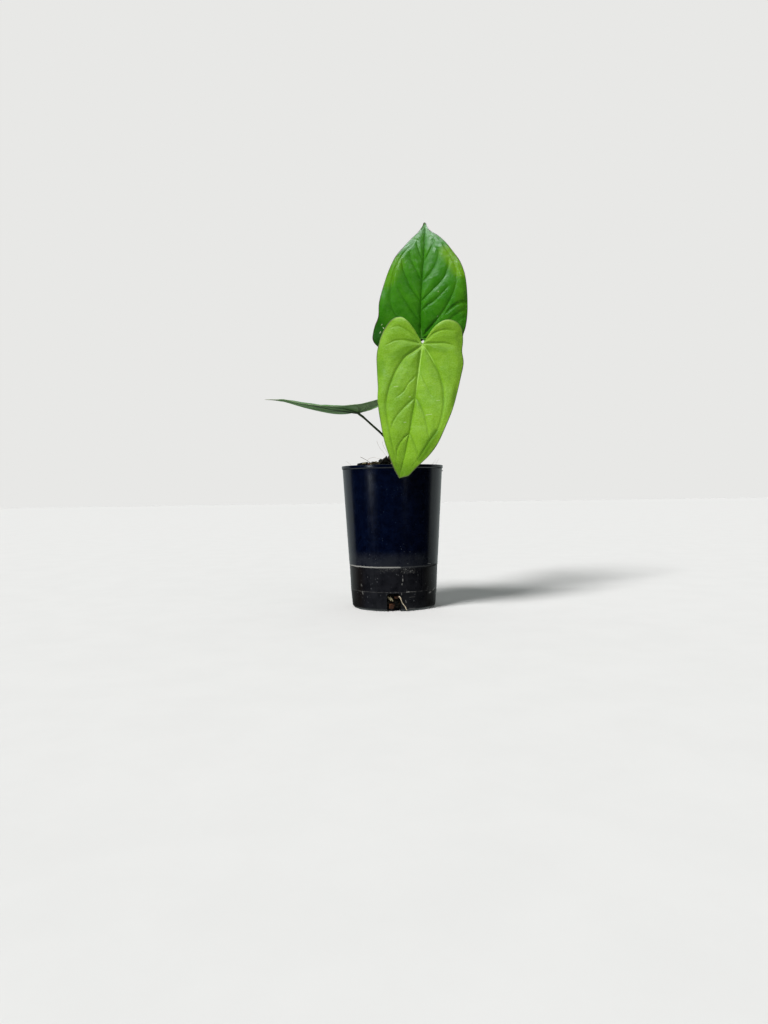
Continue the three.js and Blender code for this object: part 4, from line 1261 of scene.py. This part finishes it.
def cube_skin(parts):
    """The points (from -1 to 1) and quads of a cube whose sides have parts x parts faces."""
    index, faces = {}, []
    for axis in range(3):
        for end in (0, parts):
            for i, j in np.ndindex(parts, parts):
                corners = [(i, j), (i + 1, j), (i + 1, j + 1), (i, j + 1)]
                quad = []
                for a, b in corners if end else reversed(corners):
                    p = [0, 0, 0]
                    p[axis], p[(axis + 1) % 3], p[(axis + 2) % 3] = end, a, b
                    quad.append(index.setdefault(tuple(p), len(index)))
                faces.append(quad)
    return np.array(list(index)) * 2 / parts - 1, faces


CHIP_SKINS = {parts: cube_skin(parts) for parts in (1, 2, 4, 7)}


def add_chip(shape, parts, size, shifts, seed, turn, centre, tone, hue, rounding=0.3, rough=0.16):
    """A bark chip: a box with shifted corners, worn edges and layered sides."""
    cube, faces = CHIP_SKINS[parts]
    round_off = unit(cube) * (0.75 + 0.25 * np.abs(cube).max(1, keepdims=True))
    p = cube * (1 - rounding) + round_off * rounding
    shift = sum(share[:, None] * by for (_, share), by in zip(corner_shares((cube + 1) / 2), shifts))
    p = p * np.array(size) / 2 + shift
    layers = noise(p * [0.35, 0.35, 1.6] + seed * 17, 1.3, 80)
    lumps = noise(p + seed * 17, 2.4, 81, 2)
    flat = np.array([1, 1, 0.55]) * min(size)
    p = p + unit(cube) * flat * (rough * layers + rough * 0.8 * lumps)[:, None]
    x, y, z = [Matrix.Rotation(angle, 3, axis) for angle, axis in zip(turn, "XYZ")]
    centre = np.asarray(centre, float)
    shape.add(p @ np.array(z @ y @ x).T + centre, faces, tone=tone, hue=hue, grain=p + centre * 3)


def add_large_chips(shape):
    """The same large chips as in the solid mix, drawn in the same order."""
    draw = seeded_random(MIX["seed"])
    reach = inner_wall(0.3)[0][0] - 3
    golden = math.pi * (3 - math.sqrt(5))
    order = [tuple(2 * i - 1 for i in corner) for corner in np.ndindex(2, 2, 2)]
    # The corners in the order in which the solids draw them.
    corners = [order[i] for i in (7, 6, 5, 4, 2, 3, 0, 1)]
    for i in range(MIX["chips"]):
        radius = reach * math.sqrt((i + 0.5) / MIX["chips"])
        x, y, _ = polar((0, 0), radius, i * golden + draw(), 0)
        size = [5 + 8 * draw(), 3.5 + 4.5 * draw(), 2 + 2.5 * draw()]
        drawn = {corner: [0.45 * side * (draw() - 0.5) for side in size] for corner in corners}
        shifts = [np.array(drawn[corner]) for corner in order]
        turn = (1.1 * (draw() - 0.5), 1.1 * (draw() - 0.5), 2 * math.pi * draw())
        z = mix_top(x, y) + 0.3 + 0.9 * draw()
        tone, hue = 0.5 + 0.5 * math.sin(i * 2.4), (i * 0.37) % 1
        if from_stem(x, y) >= 5:
            add_chip(shape, 7, size, shifts, i, turn, (x, y, z), tone, hue)


def make_mix_bed(material):
    """The fines, from the floor up along the wall and over the top surface."""
    top_radius = inner_wall(0.4)[0][0] - 0.5
    wall = [(r, z) for r, z in inner_wall(0.35) if z < MIX["edge_height"] - 1]
    wall = [(r - (MIX["recess"] if z < DRAIN["height"] + 3 else 0), z) for r, z in wall]
    profile = [(2.0, POT["floor"] + 0.35)] + wall[::-1] + [(top_radius, MIX["edge_height"] - 1.0)]
    profile = filled_in(np.array(profile), 3)
    lower = turned(profile, MIX["sides"])
    hollows = np.minimum(0, noise(lower, 3.2, 91, 3) - 0.25) * 1.1
    hollows[profile[:, 0] <= 20] = 0
    lower = lower + unit(lower * [1, 1, 0]) * hollows[..., None]
    upper = turned([(r, 0) for r in np.linspace(top_radius, 1, MIX["top_rings"])], MIX["sides"])
    crumbs = 0.9 * noise(upper, 2.6, 92, 3) + 0.35 * noise(upper, 0.9, 93)
    upper[..., 2] = mix_top(upper[..., 0], upper[..., 1]) - 0.6 + crumbs
    shape = Shape()
    shape.add(*lofted(np.concatenate([lower, upper])))
    shape.piece("mix_bed", "potting_mix", "potting_mix", material)


def drawn_size(rng, low, high, thinnest):
    return rng.uniform(low, high) * np.array([1, rng.uniform(0.5, 0.9), rng.uniform(thinnest, 0.6)])


def make_bark_chips(rng, material):
    chips = Shape()
    add_large_chips(chips)
    for centre, size, turn, tone in RIM_CHIPS:
        shifts = np.array(size) * 0.2 * rng.uniform(-1, 1, (8, 3))
        add_chip(chips, 7, size, shifts, rng.integers(99), turn, centre, tone, rng.uniform())
    for parts, count, smallest, largest in STREWN:
        for _ in range(count):
            size = drawn_size(rng, smallest, largest, 0.28)
            reach = inner_wall(0.4)[0][0] - 0.4 - size[0] * 0.62
            x, y, _ = polar((0, 0), reach * math.sqrt(rng.uniform()), rng.uniform(0, 2 * math.pi), 0)
            tilt = rng.uniform(-0.7, 0.7, 2)
            spin, rise = rng.uniform(0, 6.28), rng.uniform(-0.2, 0.9)
            tone, hue, seed = rng.uniform(), rng.uniform(), rng.integers(999)
            shifts = size * 0.2 * rng.uniform(-1, 1, (8, 3))
            if from_stem(x, y) > CROWN["radius"] + size[0] * 0.4 - 0.6:
                centre = (x, y, mix_top(x, y) + rise)
                add_chip(chips, parts, size, shifts, seed, (*tilt, spin), centre, tone**1.5, hue)
    chips.piece("bark_chips", "potting_mix", "potting_mix", material, sharp=42)


def make_opening_chips(rng, material):
    """Chips and crumbs that show through the openings in the foot."""
    chips = Shape()
    wall_radius = inner_wall(0.4)[3][0] - 0.7
    for i in range(DRAIN["count"]):
        for _ in range(OPENING_CHIPS):
            size = drawn_size(rng, 1.6, 5.0, 0.3)
            angle = math.radians(DRAIN["first_angle"] + 360 * i / DRAIN["count"] + rng.uniform(-11, 11))
            z = rng.uniform(POT["floor"] + 1.6, DRAIN["height"] + 1.5)
            radius = wall_radius - (2.4 if z < 6 else 1.2) - size[0] * 0.5 - rng.uniform(0, 3.0)
            shifts = size * 0.2 * rng.uniform(-1, 1, (8, 3))
            turn = rng.uniform(-1.5, 1.5, 3)
            tone, hue, seed = rng.uniform(), rng.uniform(), rng.integers(999)
            if i == 0:
                radius = min(radius, wall_radius - MIX["recess"])
            # Chips in the openings get low tones, so they are drawn near black: painted shade inside the
            # pot.
            add_chip(chips, 4, size, shifts, seed, turn, polar((0, 0), radius, angle, z), 0.16 * tone, hue)
    for centre, size, turn, tone, hue in FRONT_CHIPS:
        shifts = np.array(size) * 0.12 * rng.uniform(-1, 1, (8, 3))
        add_chip(chips, 7, size, shifts, rng.integers(99), turn, centre, tone, hue, 0.25, 0.1)
    chips.piece("chips_at_openings", "potting_mix", "potting_mix", material, sharp=42)


def strewn_fibre(rng):
    """A path that wanders over the mix, with its radius and tone."""
    steps, widest = 16, 41.5
    length, heading = rng.uniform(6, 22), rng.uniform(0, 2 * math.pi)
    reach, bend, thickness = rng.uniform(), rng.uniform(-0.9, 0.9), rng.uniform(0.08, 0.2)
    rise, tone = rng.uniform(0.3, 2.4), rng.uniform()
    p = polar((0, 0), 38 * math.sqrt(reach), rng.uniform(0, 2 * math.pi), 0)[:2]
    path = []
    for share in np.linspace(0, 1, steps):
        p = p * min(1, widest / np.linalg.norm(p))
        path.append([*p, mix_top(*p) + 0.5 + rise * math.sin(math.pi * share)])
        heading += bend * 0.16
        p = p + length / (steps - 1) * polar((0, 0), 1, heading, 0)[:2]
    return path, thickness, tone


def make_fibres(rng, material):
    """Fibres of coir and bark: those that the front view shows, then others strewn about."""
    fibres = Shape()
    for line, radius, tone in SHOWN_FIBRES:
        thin = 1 - 0.5 * np.linspace(0, 1, 30)**2
        fibres.add(*tube(bent_path(line, 30), radius * thin, 6), tone=tone)
    for _ in range(STREWN_FIBRES):
        path, radius, tone = strewn_fibre(rng)
        if min(from_stem(x, y) for x, y, _ in path) >= CROWN["radius"] + 0.5:
            fibres.add(*tube(respaced(curve(path, 3), 26), radius, 6), tone=tone)
    fibres.piece("mix_fibres", "potting_mix", "potting_mix", material)


def bark_material():
    m = Material("bark")
    place = m.vector_of("grain")
    tone, hue = m.values("tone", "hue")
    grain = m.noise(m.stretched(place, (0.3, 1, 1)), 0.7, 5, 0.7)
    patches = m.noise(place, 2.4, 4, 0.6)
    brown = m.tones(grain, 0.3, 0.7, (0.007, 0.006, 0.003), (0.05, 0.04, 0.018))
    red = m.tones(grain, 0.3, 0.7, (0.022, 0.009, 0.005), (0.13, 0.052, 0.024))
    tan = m.tones(grain, 0.3, 0.7, (0.15, 0.12, 0.06), (0.42, 0.37, 0.23))
    skin = m.mix(m.band(hue, 0.7, 1), brown, red)
    # Near black below tone 0.16: dark chips, and painted shade on the chips inside the openings.
    skin = m.mix(m.band(tone, 0.16, 0.02), skin, (0.004, 0.004, 0.003))
    skin = m.mix(m.band(tone, 0.8, 0.97, 0, 0.9), skin, tan)
    skin = m.mix(m.band(patches, 0.5, 0.66) * m.band(tone, 1, 0.3), skin, (0.009, 0.007, 0.006))
    return m.finish(skin, m.band(patches, 0.3, 0.7, 0.72, 0.95), grain + patches * 0.6, 0.5, 0.9)


def fines_material():
    m = Material("mix_fines")
    place = m.object_place()
    crumbs = m.cells(place, 0.9)
    grain = m.noise(place, 0.5, 4, 0.7)
    mottle = grain * 0.5 + m.noise(place, 3.5, 3, 0.6) * 0.5
    skin = m.tones(mottle, 0.36, 0.62, (0.005, 0.0042, 0.003), (0.032, 0.024, 0.013))
    skin = m.mix(m.band(crumbs, 0.12, 0, 0, 0.5), skin, (0.11, 0.075, 0.045))
    return m.finish(skin, m.band(grain, 0.3, 0.7, 0.85, 1), crumbs * -0.8 + grain, 0.7, 1)


def fibre_material():
    m = Material("fibre")
    tone = m.values("tone")[0]
    grain = m.noise(m.object_place(), 0.5, 3, 0.6)
    dark = m.tones(grain, 0.3, 0.7, (0.06, 0.035, 0.018), (0.16, 0.1, 0.05))
    pale = m.tones(grain, 0.3, 0.7, (0.3, 0.23, 0.13), (0.55, 0.46, 0.32))
    skin = m.mix(m.band(tone, 0.35, 0.9), dark, pale)
    return m.finish(skin, m.band(grain, 0.3, 0.7, 0.6, 0.8), grain, 0.06, 0.8)


# The root that has found its way out of the front opening

DRAIN_ROOT = {
    "points": [
        (2.2, -29.5, 10.5), (3.4, -34.5, 12.4), (4.5, -37.6, 12.6), (5.5, -38.7, 10.6),
        (6.2, -38.4, 8.4), (7.5, -38.2, 6.3), (9.1, -38.1, 4.1), (10.4, -38.9, 1.2),
    ],
    "radius": 0.6,
    "taper": 0.25,
    "rows": 90,
    "sides": 20,
}


def make_drain_root(material):
    rows, sides = DRAIN_ROOT["rows"], DRAIN_ROOT["sides"]
    share = np.linspace(0, 1, rows)
    pointed = np.sqrt(np.clip((1 - share) / 0.03, 0.05, 1))
    radii = (DRAIN_ROOT["radius"] - DRAIN_ROOT["taper"] * share) * pointed
    bark = 1 + 0.1 * skin_noise(share * 22, around(sides), 0.8, 95, 2)
    shape = Shape()
    shape.add(*tube(bent_path(DRAIN_ROOT["points"], rows), radii, sides, bark))
    shape.piece("root_at_opening", "drain_root", "root", material)


# Build

# The young blade's darker tip is painted shade where it bends away from the light.
young = leaf_material(
    "leaf_young", light=(0.21, 0.41, 0.017), dark=(0.135, 0.31, 0.009), vein=(0.38, 0.63, 0.11),
    below=(0.2, 0.33, 0.09), rib=(0.27, 0.45, 0.12), rim=(0.1, 0.12, 0.05), specular=0.3, gloss=0.42,
    tip=(106, 124, 0.4, (0.06, 0.15, 0.004)), above=YOUNG_SHADE_AND_PATCHES, marks=YOUNG_MARKS,
)
mature = leaf_material(
    "leaf_mature", light=(0.05, 0.225, 0.006), dark=(0.02, 0.14, 0.003), vein=(0.09, 0.27, 0.03),
    below=(0.085, 0.19, 0.05), rib=(0.12, 0.25, 0.06), rim=(0.06, 0.035, 0.03), specular=0.2, gloss=0.24,
    tip=(128, 134, 0.7, (0.07, 0.055, 0.03)), above=OLD_PATCHES_AND_SHADE, marks=OLD_MARKS,
)
# The level blade's dark rib colour is a painted shadow beside its raised ribs underneath, and its patch
# beneath is painted light.
level = leaf_material(
    "leaf_level", light=(0.05, 0.225, 0.006), dark=(0.02, 0.14, 0.003), vein=(0.09, 0.27, 0.03),
    below=(0.18, 0.35, 0.11), rib=(0.02, 0.045, 0.01), rim=(0.26, 0.34, 0.18), specular=0.3, gloss=0.28,
    tip=(72, 83, 0.85, (0.55, 0.5, 0.4)), beneath=LEVEL_PAINTED_LIGHT,
)
make_blade("front", "young_leaf", young)
make_blade("back", "mature_leaf", mature)
make_blade("left", "mature_leaf", level)
stalk_skin = stalk_material()
for stalk_name in STALKS:
    make_stalk(stalk_name, stalk_skin)
make_stem(stem_material())
make_stem_roots(root_material("root_skin", (0.3, 0.24, 0.13), (0.09, 0.07, 0.035)))
bract_paper = bract_material()
for number, bract in enumerate(BRACTS, 1):
    make_bract(number, bract, bract_paper)
make_pot(pot_material())
draws = np.random.default_rng(7)
bark_skin = bark_material()
make_mix_bed(fines_material())
make_bark_chips(draws, bark_skin)
make_opening_chips(draws, bark_skin)
make_fibres(draws, fibre_material())
make_drain_root(root_material("pale_root", (0.62, 0.54, 0.4), (0.33, 0.25, 0.16)))

# Studio

CAMERA = {"place": (-7.9, -687, 102.7), "down": 1.566, "roll": -0.8, "lens": 27, "sensor": 36}
FLOOR_HALF = 6000
BACKDROP = (0.807, 0.807, 0.792)
ROOM_LIGHT = (0.9, 1, 0.98)
SOFTBOX_LIGHT = (0.87, 0.95, 1)
AIM = (0, 0, 0.2)


def make_camera():
    data = bpy.data.cameras.new("camera")
    data.lens, data.sensor_width = CAMERA["lens"], CAMERA["sensor"]
    data.clip_start, data.clip_end = 0.01, 50
    camera = linked("camera", data)
    pitch = Matrix.Rotation(math.radians(90 - CAMERA["down"]), 4, "X")
    roll = Matrix.Rotation(math.radians(CAMERA["roll"]), 4, "Z")
    camera.matrix_world = Matrix.Translation(Vector(CAMERA["place"]) * MM) @ pitch @ roll
    bpy.context.scene.camera = camera


def make_floor():
    corners = [(x * FLOOR_HALF, y * FLOOR_HALF, 0) for x, y in ((-1, -1), (1, -1), (1, 1), (-1, 1))]
    mesh = mesh_of("floor", corners, [(0, 1, 2, 3)])
    m = Material("studio_floor", Roughness=1.0, Specular_IOR_Level=0.0)
    grain = m.noise(m.object_place(), 40, 4, 0.6)
    tones = m.tones(grain, 0.3, 0.7, (0.745, 0.735, 0.725), (0.76, 0.75, 0.74))
    m.feed(m.shader.inputs["Base Color"], tones)
    mesh.materials.append(m.data)
    floor = linked("floor", mesh)
    floor.visible_glossy = floor.visible_diffuse = False


def make_world():
    """A pale room: white behind, brighter overhead, and darker towards the camera."""
    world = bpy.data.worlds.new("studio")
    bpy.context.scene.world = world
    world.use_nodes = True
    n = Nodes(world.node_tree)
    n.tree.nodes.clear()
    direction = n.node("TexCoord", {}, "Generated")
    height = n.axes(direction)[2]
    wall = n.band(n.vector("DOT_PRODUCT", direction, (0.1, 1, 0)), 0.24, 0.33, 0.01, 0.42)
    above, below = n.band(height, 0.92, 0.985, 0, 0.6), n.band(height, -0.25, -0.75, 0, 0.7)
    light = n.larger(n.larger(wall * n.band(height, -0.19, -0.13), above), below)
    seen = n.node("Background", {"Color": BACKDROP})
    felt = n.node("Background", {"Color": ROOM_LIGHT, "Strength": light})
    by_camera = n.node("LightPath", {}, "Is Camera Ray")
    n.node("OutputWorld", {"Surface": n.node("MixShader", {0: by_camera, 1: felt, 2: seen})}, None)


def make_lamp(name, data, place):
    lamp = linked(name, data)
    where = Vector(place)
    turn = (Vector(AIM) - where).to_track_quat("-Z", "Y")
    lamp.matrix_world = Matrix.Translation(where) @ turn.to_matrix().to_4x4()
    return lamp


def make_sun(name, place, strength, width):
    """Soft even light from far away, which gives no highlights."""
    data = bpy.data.lights.new(name, "SUN")
    data.energy, data.angle = strength, math.radians(width)
    make_lamp(name, data, place).visible_glossy = False


def make_softbox(name, place, size, power):
    """A lit rectangle that gives highlights only."""
    data = bpy.data.lights.new(name, "AREA")
    data.shape, data.size, data.size_y, data.energy = "RECTANGLE", *size, power
    data.color = SOFTBOX_LIGHT
    make_lamp(name, data, place).visible_diffuse = False


make_camera()
make_floor()
make_world()
make_sun("key", (-0.95, -0.95, 1.6), 3.75, 20)
make_sun("fill", (0.7, -1.0, 0.7), 0.6, 90)
make_softbox("overhead", (-0.06, 0.15, 1.6), (0.86, 0.26), 14)
make_softbox("left_strip", (-0.95, -0.75, 0.2), (0.2, 0.28), 1.1)
make_softbox("right_strip", (0.55, -1.05, 0.2), (0.12, 0.28), 0.14)
bpy.context.scene.view_settings.view_transform = "Standard"

bpy.context.view_layer.update()
